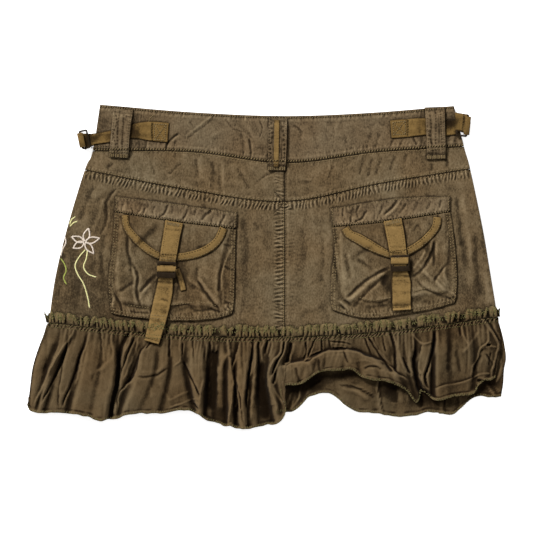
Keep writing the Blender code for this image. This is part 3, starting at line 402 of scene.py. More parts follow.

# Painted shade and painted highlights in soft patches, with some of the cloth's own darker and paler tone.
# Each row is one patch: the column and row of its middle, how far it reaches across and down, in squares,
# how far it is turned, in degrees, and how much paler it is.

BODY_SHADES = [
    (74, 270, 12, 60, 8, -0.45), (482, 268, 10, 60, -4, -0.3), (104, 292, 6, 26, 0, -0.4),
    (462, 262, 5, 40, 0, -0.3), (100, 320, 60, 7, 4, -0.3),
    # Waistband
    (103, 123, 4.5, 8, -15, -0.55), (91, 142, 5, 8, 0, -0.7), (139, 146, 8, 5, 0, -0.75),
    (124, 108, 12, 4, 5, -0.35), (136, 118, 3, 7, 0, -0.5), (177, 124, 10, 9, 0, 0.2),
    (300, 140, 30, 12, 0, 0.1), (403, 143, 12, 6, 0, 0.3), (421, 142, 2.2, 8, 5, -1.1),
    (421, 112, 3, 5, 0, -0.8), (449, 123, 4.5, 5, 0, -1.9), (452, 110, 7, 5, 0, -0.35),
    # Yoke
    (126, 167, 7, 12, 25, -0.5), (96, 163, 9, 7, 0, 0.25), (104, 174, 20, 5, 12, -0.3),
    (202, 172, 5, 13, 0, 0.25), (212, 172, 4, 12, 0, -0.2), (232, 172, 9, 12, 0, 0.2),
    (312, 172, 13, 10, 0, 0.3), (300, 184, 20, 3, 0, -0.3), (362, 168, 5, 12, 0, -0.15),
    (412, 168, 9, 8, 0, 0.25), (466, 166, 7, 14, 0, 0.3),
    # Panels
    (108, 206, 7, 22, 5, -0.55), (93, 212, 9, 24, 12, -0.45), (80, 200, 5, 22, 14, 0.2),
    (72, 288, 18, 30, 5, -0.5), (98, 290, 10, 36, 0, -0.55), (66, 306, 12, 8, 0, -0.3),
    (244, 262, 6, 42, 0, -0.45), (262, 215, 10, 22, 0, -0.15), (275, 300, 9, 20, 0, -0.3),
    (312, 248, 12, 22, 0, 0.2), (298, 292, 8, 30, 0, -0.15), (323, 300, 7, 22, 0, -0.35),
    (394, 312, 22, 5, -5, 0.35), (462, 250, 5, 45, -3, -0.4), (470, 212, 7, 28, -5, 0.45),
    (479, 240, 5, 30, -8, -0.15), (488, 288, 8, 22, 0, 0.2), (470, 296, 9, 16, 0, -0.45),
]

POCKET_SHADES = [
    (167, 261, 11, 2.4, 0, -0.8), (165, 279.5, 11, 2.2, 0, -0.9), (398, 253.5, 10, 2.2, 0, -0.8),
    (399, 272.5, 11, 2.2, 0, -0.9), (181, 276, 5, 11, 0, -1.7), (152, 281, 5, 5, -35, -1.1),
    (109, 296, 2.6, 12, 0, -1.0), (232, 232, 2.5, 16, 4, -0.8), (228, 310, 3, 3, 0, 0.6),
    (146, 295, 5, 9, 20, 0.4), (145, 237, 14, 2.2, 42, -1.8), (121, 250, 9, 36, 0, -0.25),
    (133, 285, 16, 22, 0, -0.45), (150, 262, 7, 12, 0, -0.45), (205, 268, 14, 16, 0, 0.2),
    (229, 272, 5, 30, 2, -0.45), (184, 298, 12, 8, 0, -0.2), (226, 314, 9, 4, 0, -0.25),
    (118, 312, 10, 6, 0, -0.35), (386, 281, 5, 11, 10, -2.4), (409, 266, 2.6, 9, 0, -1.7),
    (427, 250, 3.5, 15, 35, -1.2), (424, 272, 5, 9, -35, 0.5), (420, 300, 12, 3, -6, -0.5),
    (362, 251.5, 13, 2.2, 31, -1.3), (437, 288, 7, 3, 30, 0.5), (334, 262, 2.2, 26, 3, -0.9),
    (456, 262, 2.5, 30, 0, -0.8), (349, 262, 10, 20, 0, 0.2), (338, 296, 8, 12, 0, -0.35),
    (448, 245, 5, 24, 0, -0.5), (426, 262, 7, 10, 30, -0.3), (419, 240, 6, 7, 20, 0.2),
    (416, 300, 14, 6, 0, 0.2), (448, 300, 9, 5, 0, -0.5), (372, 268, 8, 6, 20, 0.15),
]

FLOUNCE_SHADES = [
    (95, 386, 13, 22, 0, 0.3), (58, 345, 6, 14, 20, -0.35), (118, 372, 3.5, 36, 6, -1.1),
    (133, 350, 7, 14, 30, -0.5), (160, 385, 18, 14, 0, 0.1), (211, 392, 6.5, 36, 4, -1.9),
    (222, 398, 5, 30, -2, -1.5), (214, 352, 5, 14, 0, -0.9), (217.5, 372, 1.6, 16, 5, 0.9),
    (224, 362, 1.6, 14, 10, 0.7), (207, 372, 1.2, 12, 4, 0.5), (260, 386, 5, 26, 3, -1.9),
    (266, 404, 5, 18, -4, -1.6), (262.5, 372, 1.2, 12, 6, 0.7), (243, 396, 3, 14, 0, -0.8),
    (240, 372, 3, 22, 0, -0.5), (268, 412, 8, 12, 0, -0.9), (232, 360, 5, 30, 0, 0.25),
    (290, 352, 4, 9, 20, -0.9), (316, 360, 5, 10, 0, -0.6), (303, 371, 17, 8, -18, 0.6),
    (336, 359, 12, 7, 0, 0.5), (376, 371, 20, 6, 26, 0.55), (204, 398, 3, 24, 4, -1.0),
    (254, 392, 3, 22, 3, -0.9), (117, 395, 3, 18, 6, -1.2), (345, 356, 14, 5, 5, 0.25),
    (380, 366, 12, 5, 20, 0.15), (401, 380, 6, 9, -30, -0.7), (413, 368, 3.5, 22, 0, -1.8),
    (421, 393, 9, 11, 20, -3.8), (404, 386, 5, 9, -30, -1.6), (392, 352, 3, 18, -4, -0.7),
    (384, 358, 4, 12, -30, -0.4), (432, 352, 5, 18, 0, -0.9), (438, 375, 10, 14, 0, -0.6),
    (450, 345, 12, 24, 0, -0.35), (484, 366, 7, 12, 20, -0.3), (455, 389, 24, 6, -6, 0.1),
    (470, 352, 7, 12, 20, 0.2), (452, 356, 42, 40, 0, -0.5), (468, 392, 22, 8, 0, -0.4),
]

STRAP_SHADES = [
    (133.5, 132, 4.5, 12, 0, -2.2), (97, 137, 8, 3, 35, -1.2), (141, 138, 6, 4, 20, -0.5),
    (162, 130, 6, 8, 0, 0.25), (87.5, 141, 3.4, 12, -10, -3.2), (108, 138, 3.5, 8, 0, -0.6),
    (148, 132, 10, 9, 0, 0.2), (448, 122.5, 6.5, 5.0, 0, -4.6), (422, 126, 3.5, 9, 0, -0.5),
    (412, 126, 9, 8, 0, 0.25), (458, 121, 4, 9, 0, 0.25), (458, 132.5, 4, 2, 0, -3.0),
    (463.4, 124, 0.8, 9, 5, -1.4),
]

FRONT_SHADES = [
    (292, 384, 12, 7, 0, -2.1), (318, 379, 9, 6, 0, -3.0), (300, 398, 7, 9, 30, -0.3),
    (345, 388, 16, 10, 20, 0.1), (312, 385, 10, 5, -18, -3.4), (345, 375, 16, 4, 8, -2.2),
    (295, 391, 6, 7, 0, -1.6), (424, 395, 13, 6, 15, -2.6), (303, 392, 3, 9, 20, -1.2),
    (388, 390, 8, 6, 20, -1.2), (479, 391, 10, 4, 20, -1.8), (352, 384, 10, 3, 30, -0.8),
    (368, 398, 12, 2.5, 38, -0.7), (336, 392, 2, 10, 10, -0.6), (395, 404, 2, 9, 0, -0.6),
    (440, 400, 10, 3, -10, -0.7), (390, 388, 14, 8, 10, -2.0), (392, 398, 8, 10, 0, -0.5),
    (425, 398, 16, 8, 0, -2.0), (452, 402, 14, 7, 0, -0.5), (488, 384, 10, 5, 0, -2.2),
    (500, 350, 5, 24, 0, -0.3),
]

SHADES = {
    "waistband": BODY_SHADES,
    "yoke": BODY_SHADES,
    "panel_back": BODY_SHADES,
    "pocket": POCKET_SHADES,
    "ruffle_back": FLOUNCE_SHADES,
    "ruffle_front": FRONT_SHADES,
    "side_": STRAP_SHADES,
}

# ------------------------------------------------------------------------------------- drafting


def plan(column, row):
    """The plan point, in metres, of a place on the squared sheet."""
    return (column - MIDDLE_COLUMN) * SQUARE, (MIDDLE_ROW - row) * SQUARE


def drafted(places):
    return np.array([plan(*place) for place in places])


def on_squares(*places):
    return through(drafted(places), 1.0 * MM)


def mm(*lengths):
    """Lengths given in millimetres, in metres."""
    return [length * MM for length in lengths]


def ease(t):
    t = np.clip(t, 0.0, 1.0)
    return t * t * (3 - 2 * t)


def bell(away, width):
    return np.exp(-((away / width) ** 2))


def run_of(points):
    """How far along a line each of its points is."""
    steps = np.linalg.norm(np.diff(points, axis=0), axis=1)
    return np.concatenate([[0.0], np.cumsum(steps)])


def through(points, step):
    """A smooth line through the points, as points a step apart."""
    points = np.asarray(points, float)
    knots = run_of(points)
    count = max(int(round(knots[-1] / step)), 2)
    at = np.linspace(0, knots[-1], count + 1)
    slopes = np.gradient(points, knots, axis=0)
    i = np.clip(np.searchsorted(knots, at) - 1, 0, len(knots) - 2)
    gap = (knots[i + 1] - knots[i])[:, None]
    t = (at - knots[i])[:, None] / gap
    rise = points[i + 1] - points[i]
    a = slopes[i] * gap - rise
    b = rise - slopes[i + 1] * gap
    return points[i] + t * rise + t * (1 - t) * (a * (1 - t) + b * t)


def spaced(line, count):
    """The line again, as so many evenly spaced points."""
    run = run_of(line)
    at = np.linspace(0, run[-1], count)
    return np.stack([np.interp(at, run, line[:, i]) for i in range(line.shape[1])], axis=1)


def near_line(x, y, line):
    """How far plan points are from a line, more than 0 to its left, and their share along it."""
    starts, steps = line[:-1, :2], np.diff(line[:, :2], axis=0)
    lengths = np.maximum(np.hypot(steps[:, 0], steps[:, 1]), 1e-9)
    dx, dy = x[:, None] - starts[None, :, 0], y[:, None] - starts[None, :, 1]
    t = np.clip((dx * steps[:, 0] + dy * steps[:, 1]) / lengths**2, 0, 1)
    away = np.hypot(dx - t * steps[:, 0], dy - t * steps[:, 1])
    nearest = away.argmin(axis=1)
    rows = np.arange(len(x))
    turn = steps[nearest, 0] * dy[rows, nearest] - steps[nearest, 1] * dx[rows, nearest]
    run = np.concatenate([[0.0], np.cumsum(lengths)])
    share = (run[nearest] + t[rows, nearest] * lengths[nearest]) / run[-1]
    return away[rows, nearest] * np.where(turn < 0, -1, 1), share


LATTICE = 97
LATTICES = np.random.RandomState(11).uniform(-1, 1, (8, LATTICE, LATTICE))


def drift(x, y, size, layer):
    """An even, soft, random swell between -1 and 1, its hills a size apart."""
    lattice = LATTICES[layer % len(LATTICES)]
    u, v = np.asarray(x) / size + 31.7 * layer + 500, np.asarray(y) / size + 17.3 * layer + 500
    i, j = np.floor(u).astype(int), np.floor(v).astype(int)
    s, t = ease(u - i), ease(v - j)
    i, j = i % (LATTICE - 1), j % (LATTICE - 1)
    low = lattice[i, j] * (1 - s) + lattice[i + 1, j] * s
    high = lattice[i, j + 1] * (1 - s) + lattice[i + 1, j + 1] * s
    return low * (1 - t) + high * t


def ripple(run, size, layer):
    """The same, along a line."""
    return drift(run, run * 0, size, layer)


# ------------------------------------------------------------------------------------- sheets

# Heights are found by looking down from the sky
SKY = 60 * MM
DOWN = Vector((0, 0, -1))
# How far round a point its height is compared for wear and painted shading: a millimetre above makes it
# paler (wear and painted highlight), one below darker (painted shade)
FINE_REACH = 2.2 * MM
BROAD_REACH = 6.0 * MM
FINE_WEAR_SHADING = 1.5
BROAD_WEAR_SHADING = 0.28
# How dark the painted shade in a groove and how pale the painted highlight on a ridge is for each
# millimetre, up to a depth
GROOVE_SHADE = 0.52
RIDGE_HIGHLIGHT = 0.42
DEEP_MM = 1.6
# A crease's tapered ends as a share of it, its reach in widths, the step of its path, and how far apart
# two creases lie in the drift that makes them uneven
TAPER = 0.14
CREASE_REACH = 3.5
CREASE_STEP = 1.5 * MM
CREASE_SHIFT = 41
# Between a sheet and what it lies on
CLEARANCE = 0.12 * MM
CLOTH_NAME = "_cloth"

# The finished sheets by piece, the grid point of each of a piece's mesh points, and the surfaces so far
SHEETS = {}
ORDERS = {}
SKINS = []


class Sheet:
    """A sheet while it is shaped: rows of points from its top edge down, and the wear and painted shading of
    each one.
    """

    def __init__(self, x, y, z, step):
        self.x, self.y, self.z = x, y, z
        self.wear = np.zeros_like(z)
        self.pull = np.zeros_like(z)
        self.seam = np.stack([np.zeros_like(z), np.ones_like(z)])
        self.step = step

    def runs(self):
        """How far each point is from the top, bottom, left and right edges, in plan."""
        down = np.hypot(np.diff(self.x, axis=0), np.diff(self.y, axis=0)).cumsum(axis=0)
        down = np.concatenate([np.zeros((1, self.x.shape[1])), down])
        right = np.hypot(np.diff(self.x, axis=1), np.diff(self.y, axis=1)).cumsum(axis=1)
        right = np.concatenate([np.zeros((self.x.shape[0], 1)), right], axis=1)
        return {"top": down, "bottom": down[-1] - down, "left": right, "right": right[:, -1:] - right}

    def from_edge(self, side):
        """How far each point is in from one of the edges, and how far along it."""
        runs = self.runs()
        return runs[side], runs["left" if side in ("top", "bottom") else "top"]

    def inset(self, side, distance, start=0.0, end=1.0):
        """A line on the sheet at a distance from one of its edges, between two shares of its length."""
        runs, distance = self.runs()[side], distance * MM
        along_rows = side in ("top", "bottom")
        count = self.x.shape[1] if along_rows else self.x.shape[0]
        points = []
        for i in range(int(start * (count - 1)), int(end * (count - 1)) + 1):
            pick = (slice(None), i) if along_rows else (i, slice(None))
            far, xs, ys = runs[pick], self.x[pick], self.y[pick]
            if side in ("bottom", "right"):
                far, xs, ys = far[::-1], xs[::-1], ys[::-1]
            points.append((np.interp(distance, far, xs), np.interp(distance, far, ys)))
        return np.array(points)

    def draw_up(self, side, pull):
        """Notes how strongly the seam at one of its edges draws the cloth up."""
        away, along = self.from_edge(side)
        nearer = away < self.seam[1]
        self.seam = np.where(nearer, np.stack([along, away]), self.seam)
        self.pull = np.maximum(self.pull, pull)

    def near(self, side, reach):
        """1 along an edge, falling to 0 at a reach from it."""
        reach = reach * MM
        return ease((reach * 1.2 - self.runs()[side]) / (reach * 0.4))

    def rub(self, side, amount, inset, width):
        """Paints a line along an edge: paler with wear and painted highlight, and darker with painted shade
        where the amount is under 0.
        """
        self.wear = self.wear + amount * bell(self.runs()[side] - inset * MM, width * MM)

    def wear_down(self):
        """Paints pale what stands up, as wear and painted highlight, and dark what lies in a fold, as
        painted shade.
        """
        fine = self.z - soften(self.z, FINE_REACH, self.step)
        broad = self.z - soften(self.z, BROAD_REACH, self.step)
        self.wear = self.wear + (FINE_WEAR_SHADING * fine + BROAD_WEAR_SHADING * broad) / MM


def cad_mesh(node):
    """A bmesh copy of a solid, with its doubled points merged."""
    mesh = bmesh.new()
    mesh.from_mesh(NODES[node].data)
    bmesh.ops.remove_doubles(mesh, verts=mesh.verts, dist=0.02 * MM)
    return mesh


def cad_tree(node):
    mesh = cad_mesh(node)
    tree = BVHTree.FromBMesh(mesh)
    mesh.free()
    return tree


UPWARD = 0.35


def rim_of(node):
    """The plan outline of a solid's upper face, clockwise from above."""
    mesh = cad_mesh(node)
    mesh.normal_update()
    following = {}
    for face in mesh.faces:
        if face.normal.z < UPWARD:
            continue
        for loop in face.loops:
            others = [other for other in loop.edge.link_faces if other != face]
            if not others or others[0].normal.z < UPWARD:
                following[loop.vert] = loop.link_loop_next.vert
    loops = []
    while following:
        start, vert = following.popitem()
        loop = [start]
        while vert is not start and vert in following:
            loop.append(vert)
            vert = following.pop(vert)
        loops.append([(v.co.x, v.co.y) for v in loop])
    mesh.free()
    longest = max(loops, key=lambda loop: run_of(np.array(loop))[-1])
    return np.array(longest[::-1])


def four_sides(rim):
    """The top, right, bottom and left sides of an outline, each from left to right or from top down."""
    before, after = rim - np.roll(rim, 1, axis=0), np.roll(rim, -1, axis=0) - rim
    turn = np.arctan2(
        before[:, 0] * after[:, 1] - before[:, 1] * after[:, 0], (before * after).sum(axis=1)
    )
    corners = sorted(np.argsort(np.abs(turn))[-4:])
    first = min(corners, key=lambda i: rim[i, 0] - rim[i, 1])
    corners = sorted((c - first) % len(rim) for c in corners) + [len(rim)]
    rim = np.concatenate([rim[first:], rim[:first], rim[first : first + 1]])
    top, right, bottom, left = (rim[corners[i] : corners[i + 1] + 1] for i in range(4))
    return top, right, bottom[::-1], left[::-1]


def patch(sides, step):
    """A grid of plan points, a step apart, between four sides."""
    top, right, bottom, left = (through(side, step / 2) for side in sides)
    columns = max(int(max(run_of(top)[-1], run_of(bottom)[-1]) / step), 3) + 1
    rows = max(int(max(run_of(left)[-1], run_of(right)[-1]) / step), 3) + 1
    top, bottom = spaced(top, columns), spaced(bottom, columns)
    left, right = spaced(left, rows), spaced(right, rows)
    return between(top, right, bottom, left)


def between(top, right, bottom, left):
    """The grid of plan points that four lines of points span."""
    u = np.linspace(0, 1, len(top))[None, :, None]
    v = np.linspace(0, 1, len(left))[:, None, None]
    grid = (1 - v) * top[None] + v * bottom[None] + (1 - u) * left[:, None] + u * right[:, None]
    grid = grid - (
        (1 - u) * (1 - v) * top[0] + u * (1 - v) * top[-1] + (1 - u) * v * bottom[0] + u * v * bottom[-1]
    )
    return grid[..., 0], grid[..., 1]


def soften(z, reach, step):
    """Smooths heights over a reach."""
    passes = int(round(2 * (reach / step) ** 2))
    for _ in range(passes):
        for axis in (0, 1):
            first, last = np.take(z, [0], axis), np.take(z, [-1], axis)
            wide = np.concatenate([first, z, last], axis=axis)
            count = z.shape[axis]
            lower = np.take(wide, range(count), axis)
            upper = np.take(wide, range(2, count + 2), axis)
            z = 0.25 * lower + 0.5 * z + 0.25 * upper
    return z


def heights_on(tree, x, y, guess):
    """The height of the topmost face under each plan point."""
    heights = np.empty(x.size)
    for i, (px, py) in enumerate(zip(x.flat, y.flat)):
        found = tree.ray_cast(Vector((px, py, SKY)), DOWN)[0]
        if found is None:
            found = tree.find_nearest(Vector((px, py, guess)))[0]
        heights[i] = found.z
    return heights.reshape(x.shape)


def laid_over(node, step, reach):
    """A sheet on a solid's upper face, softened over a reach."""
    x, y = patch(four_sides(rim_of(node)), step)
    z = heights_on(cad_tree(node), x, y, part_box(node)[1].z)
    return Sheet(x, y, soften(z, reach * MM, step), step)


def scrap(places, heights_mm, step):
    """A small sheet between four corners: top left, top right, bottom right and bottom left."""
    a, b, c, d = drafted(places)
    x, y = patch([np.array(side) for side in ((a, b), (b, c), (d, c), (a, d))], step)
    u, v = np.linspace(0, 1, x.shape[1])[None, :], np.linspace(0, 1, x.shape[0])[:, None]
    high = [height * MM for height in heights_mm]
    z = (1 - v) * ((1 - u) * high[0] + u * high[1]) + v * ((1 - u) * high[3] + u * high[2])
    return Sheet(x, y, z, step)


def within(sheet, low, high):
    """Which points of a sheet lie inside a box, in plan."""
    return (sheet.x > low[0]) & (sheet.x < high[0]) & (sheet.y > low[1]) & (sheet.y < high[1])


def crease(sheet, reliefs, share=1.0):
    """Presses the creases of a table into a sheet, and paints their shade and highlight."""
    for relief in reliefs:
        width = relief.width_mm * MM
        reach = CREASE_REACH * width
        line = through(drafted(relief.path), CREASE_STEP)
        near = within(sheet, line.min(axis=0) - reach, line.max(axis=0) + reach)
        if not near.any():
            continue
        away, place = near_line(sheet.x[near], sheet.y[near], line)
        run = place * run_of(line)[-1] + CREASE_SHIFT * line[0, 0]
        away = away + (0.2 * width + 0.25 * MM) * ripple(run, 5 * MM, 1)
        ends = ease(place / TAPER) * ease((1 - place) / TAPER)
        ends = ends * (1 + 0.5 * ripple(run, 8 * MM, 3))
        height, tone = relief_at(relief, away, width)
        sheet.z[near] += height * ends * MM * share
        sheet.wear[near] += tone * ends * share


def relief_at(relief, away, width):
    """The height of a crease, in millimetres, and its painted tone, at a distance from its path: painted
    shade in a groove and below a lap's step, painted highlight on a ridge, a groove's lip and a lap's upper
    edge.
    """
    if relief.kind == "ridge":
        lit = bell(away, 0.5 * width) - 0.35 * bell(away, 1.7 * width)
        return relief.rise_mm * bell(away, width), RIDGE_HIGHLIGHT * min(relief.rise_mm, DEEP_MM) * lit
    if relief.kind == "groove":
        wide = np.where(away > 0, max(0.55 * width, 0.7 * MM), 1.05 * width)
        lips = bell(away - 1.8 * width, 0.8 * width) + 0.5 * bell(away + 2.6 * width, width)
        rise = relief.rise_mm * (0.25 * lips - bell(away, wide))
        deep = min(relief.rise_mm, DEEP_MM) + 0.25 * max(relief.rise_mm - DEEP_MM, 0.0)
        lit = 0.12 * bell(away - 1.5 * width, 0.6 * width)
        return rise, deep * (lit - GROOVE_SHADE * bell(away, 0.8 * wide))
    over = 0.5 + 0.5 * np.tanh(away / (0.6 * MM))
    upper = relief.rise_mm * over * np.exp(-np.abs(away) / width)
    lower = relief.fall_mm * (1 - over) * np.exp(-np.abs(away) / width)
    tone = 0.5 * bell(away - 1.0 * MM, 0.8 * MM) - 1.3 * bell(away + 0.7 * MM, 0.9 * MM)
    return upper - lower, tone


def pit(sheet, depth, pitch, path):
    """A row of pits that tight stitches leave along a path, each dipped in and painted dark with shade."""
    depth, pitch = mm(depth, pitch)
    line = through(drafted(path), 0.8 * MM)
    away, place = near_line(sheet.x.ravel(), sheet.y.ravel(), line)
    run = place * run_of(line)[-1]
    run = run + 0.5 * pitch * ripple(run, 2.3 * pitch, 2)
    away = away + 0.35 * MM * ripple(run, 1.7 * pitch, 5)
    beads = (0.5 + 0.5 * np.cos(2 * math.pi * run / pitch)) ** 1.5
    mark = (bell(away, 0.75 * MM) * (0.15 + 0.85 * beads)).reshape(sheet.z.shape)
    sheet.z = sheet.z - depth * mark
    sheet.wear = sheet.wear - 1.9 * mark


def shade(sheet, shades):
    """Paints soft patches of shade and highlight on a sheet, with some of its own darker and paler tone."""
    for column, row, wide, tall, turn, amount in shades:
        x, y = plan(column, row)
        turn = math.radians(turn)
        dx, dy = sheet.x - x, sheet.y - y
        across = (dx * math.cos(turn) + dy * math.sin(turn)) / (wide * SQUARE)
        down = (dy * math.cos(turn) - dx * math.sin(turn)) / (tall * SQUARE)
        sheet.wear = sheet.wear + amount * np.exp(-(across**2) - down**2)


def paint_shadow_round(name, others, amount, width):
    """Paints shadow on other sheets close round the outline of one that lies on them."""
    width = width * MM
    points = np.stack([SHEETS[name].x, SHEETS[name].y], axis=-1)
    rim = np.concatenate([points[0], points[:, -1], points[-1, ::-1], points[::-1, 0]])
    rim = spaced(rim, max(int(run_of(rim)[-1] / (2 * MM)), 8))
    low, high = rim.min(axis=0) - 3 * width, rim.max(axis=0) + 3 * width
    for other in others:
        under = SHEETS[other]
        near = within(under, low, high)
        if near.any():
            away, place = near_line(under.x[near], under.y[near], rim)
            run = place * run_of(rim)[-1]
            uneven = 0.85 + 0.75 * ripple(run, 7 * MM, 4)
            under.wear[near] -= amount * uneven * bell(away, width)


def swell(sheet, height, size, layer):
    """Uneven low undulations all over a sheet, lower towards its edges."""
    height, size = mm(height, size)
    edge = np.minimum.reduce(list(sheet.runs().values()))
    rise = drift(sheet.x, sheet.y, size, layer) + 0.5 * drift(sheet.x, sheet.y, size / 2.3, layer + 3)
    sheet.z = sheet.z + rise * height * ease(edge / (4 * MM))


def crumple(sheet, height, size, layer):
    """Thin broken creases in patches, as cloth keeps after washing."""
    height, size = mm(height, size)
    warp = 0.3 * size * drift(sheet.x, sheet.y, 2.3 * size, layer + 5)
    side = drift(1.5 * sheet.x + warp, 0.45 * sheet.y - warp, size, layer)
    patches = ease(0.2 + 1.4 * drift(sheet.x, sheet.y, 1.6 * size, layer + 2))
    fold = 10.0 * side * bell(side, 0.22)
    sheet.z = sheet.z + height * fold * patches
    # Painted shade and highlight on the two sides of each crease
    sheet.wear = sheet.wear + 0.12 * fold * patches


def pucker(sheet, side, depth, pitch, start, end, lean, layer):
    """Short uneven puckers that stitches draw up, between two distances from an edge."""
    depth, pitch, start, end = mm(depth, pitch, start, end)
    in_from, along = sheet.from_edge(side)
    middle, half = (start + end) / 2, (end - start) / 2
    band = ease((half * 1.35 - np.abs(in_from - middle)) / (half * 0.7))
    waver = 0.9 * pitch * drift(along, in_from, 3.1 * pitch, layer)
    turn = 2 * math.pi / pitch
    first = np.sin(turn * (along + lean * in_from + waver))
    second = np.sin(turn * 0.77 * (along - 1.3 * lean * in_from - waver) + 2.0)
    strength = 0.65 + 0.5 * drift(along, in_from * 0.4, 2.2 * pitch, layer + 1)
    sheet.z = sheet.z + depth * band * strength * (0.62 * first + 0.5 * second)
    sheet.draw_up(side, np.clip(depth / (0.9 * MM), 0, 1) * band * np.clip(strength + 0.25, 0, 1.2))


def roll_edge(sheet, side, depth, width):
    """Turns an edge down."""
    sheet.z = sheet.z - depth * MM * bell(sheet.runs()[side], width * MM)


def seam(sheet, side, inset, pitch, depth, layer):
    """A stitched seam along an edge: the edge dips, and each stitch draws in a pit."""
    inset, pitch, depth = mm(inset, pitch, depth)
    in_from, along = sheet.from_edge(side)
    waver = 0.3 * pitch * ripple(along, 5 * pitch, layer)
    pits = 0.5 - 0.5 * np.cos(2 * math.pi * (along + waver) / pitch)
    row = bell(in_from - inset, 0.9 * MM)
    swollen = 0.3 * MM * bell(in_from - 2.6 * inset, 1.3 * MM)
    sheet.z = sheet.z - depth * row * (0.35 + 0.65 * pits) + swollen
    # Painted shade in each stitch pit and a dark joint along the edge; between them a paler worn strip
    sheet.wear = sheet.wear - 0.35 * bell(in_from, 0.7 * MM) - 0.55 * row * pits
    sheet.wear = sheet.wear + 0.35 * bell(in_from - 0.55 * inset, 0.5 * MM) * (1 - pits)
    roll_edge(sheet, side, 0.4, 0.8)


def let_out(sheet, side, by):
    """Lets an edge out, so that it laps its neighbour."""
    edge, inner = {
        "top": ((0, ...), (1, ...)), "bottom": ((-1, ...), (-2, ...)),
        "left": ((..., 0), (..., 1)), "right": ((..., -1), (..., -2)),
    }[side]
    dx, dy = sheet.x[edge] - sheet.x[inner], sheet.y[edge] - sheet.y[inner]
    length = np.hypot(dx, dy)
    sheet.x[edge] += by * MM * dx / length
    sheet.y[edge] += by * MM * dy / length


def round_off(sheet, by):
    """Draws the two lower corners in."""
    u, v = np.linspace(-1, 1, sheet.x.shape[1])[None, :], np.linspace(0, 1, sheet.x.shape[0])[:, None]
    inward = by * MM * np.abs(u) ** 7 * v**7
    sheet.x -= inward * np.sign(u)
    sheet.y += inward


def seat(sheet, wall, times=1):
    """Raises a sheet where it would sink into what it lies on."""
    lows = np.full(sheet.z.size, -1.0)
    for tree, low, high in SKINS:
        for i in np.flatnonzero(within(sheet, low, high)):
            hit = tree.ray_cast(Vector((sheet.x.flat[i], sheet.y.flat[i], SKY)), DOWN)[0]
            if hit is not None:
                lows[i] = max(lows[i], hit.z)
    lows = lows.reshape(sheet.z.shape) + wall + CLEARANCE
    for _ in range(times):
        sheet.z = soften(np.maximum(sheet.z, lows), 1.0, 1.0)
    sheet.z = np.maximum(np.maximum(sheet.z, lows), wall + CLEARANCE)


# ------------------------------------------------------------------------------------- objects


def mesh_from(shape, name):
    """A mesh of the shape, which is used up."""
    mesh = bpy.data.meshes.new(name)
    shape.to_mesh(mesh)
    shape.free()
    return mesh


def placed(name, data):
    """A new object in the scene."""
    made = bpy.data.objects.new(name, data)
    bpy.context.scene.collection.objects.link(made)
    return made


def points_of(mesh):
    flat = np.empty(3 * len(mesh.vertices))
    mesh.vertices.foreach_get("co", flat)
    return flat.reshape(-1, 3)


def link(name, mesh, material, nodes=()):
    """Puts a finished mesh in the scene, on the body, in place of its solids."""
    mesh.materials.clear()
    mesh.materials.append(material)
    mesh.shade_smooth()
    piece = placed(name, mesh)
    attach(piece, ROOT)
    if nodes:
        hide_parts(*nodes)
    return piece


def sew(name, sheet, wall, material, nodes):
    """Makes a piece of cloth from a sheet: a grid of its points, thickened downward."""
    rows, columns = sheet.x.shape
    sheet.z = np.maximum(sheet.z, wall + CLEARANCE)
    cloth = bmesh.new()
    bmesh.ops.create_grid(cloth, x_segments=columns - 1, y_segments=rows - 1, size=0.5)
    mesh = mesh_from(cloth, name + CLOTH_NAME)
    square = points_of(mesh)
    across = np.rint((square[:, 0] + 0.5) * (columns - 1)).astype(int)
    down = np.rint((0.5 - square[:, 1]) * (rows - 1)).astype(int)
    points = np.stack([axis[down, across] for axis in (sheet.x, sheet.y, sheet.z)], axis=1)
    mesh.vertices.foreach_set("co", points.ravel())
    mesh.update()
    SHEETS[name], ORDERS[name] = sheet, down * columns + across
    map_over(name, "seam", sheet.seam[0], sheet.seam[1])
    paint(name, "pull", sheet.pull)
    add_skin(mesh)
    piece = link(name + CLOTH_NAME, mesh, material, nodes)
    solidify = piece.modifiers.new("wall", "SOLIDIFY")
    solidify.thickness = wall
    solidify.offset = -1.0
    return piece


def map_over(name, label, across, along):
    """Gives a piece a map of two lengths, in metres."""
    mesh = bpy.data.meshes[name + CLOTH_NAME]
    corners = np.empty(len(mesh.loops), int)
    mesh.loops.foreach_get("vertex_index", corners)
    order = ORDERS[name][corners]
    places = np.stack([across.ravel()[order], along.ravel()[order]], axis=1)
    mesh.uv_layers.new(name=label).data.foreach_set("uv", places.astype(np.float32).ravel())


def paint(name, label, values):
    """Gives each point of a piece a value."""
    mesh = bpy.data.meshes[name + CLOTH_NAME]
    painted = mesh.attributes.new(label, "FLOAT", "POINT")
    painted.data.foreach_set("value", values.ravel()[ORDERS[name]])


def add_skin(mesh):
    """Remembers a surface, so that later pieces and stitches can lie on it."""
    surface = bmesh.new()
    surface.from_mesh(mesh)
    tree = BVHTree.FromBMesh(surface)
    surface.free()
    points = points_of(mesh)
    SKINS.append((tree, points.min(axis=0), points.max(axis=0)))


def skin_at(x, y):
    """The topmost point of the cloth at a plan point, and the way it faces."""
    best, facing = None, Vector((0, 0, 1))
    for tree, low, high in SKINS:
        if not (low[0] <= x <= high[0] and low[1] <= y <= high[1]):
            continue
        hit, normal, _, _ = tree.ray_cast(Vector((x, y, SKY)), DOWN)
        if hit is not None and (best is None or hit.z > best.z):
            best, facing = hit, normal
    if best is None:
        return Vector((x, y, CLOTH_WALL)), facing
    return best, facing if facing.z > 0 else -facing


# ------------------------------------------------------------------------------------- thread

STITCH_SEGMENTS = 6
STITCH_RINGS = 3
# How deep a stitch sinks into the cloth, as a share of its width
STITCH_SINK = 0.25


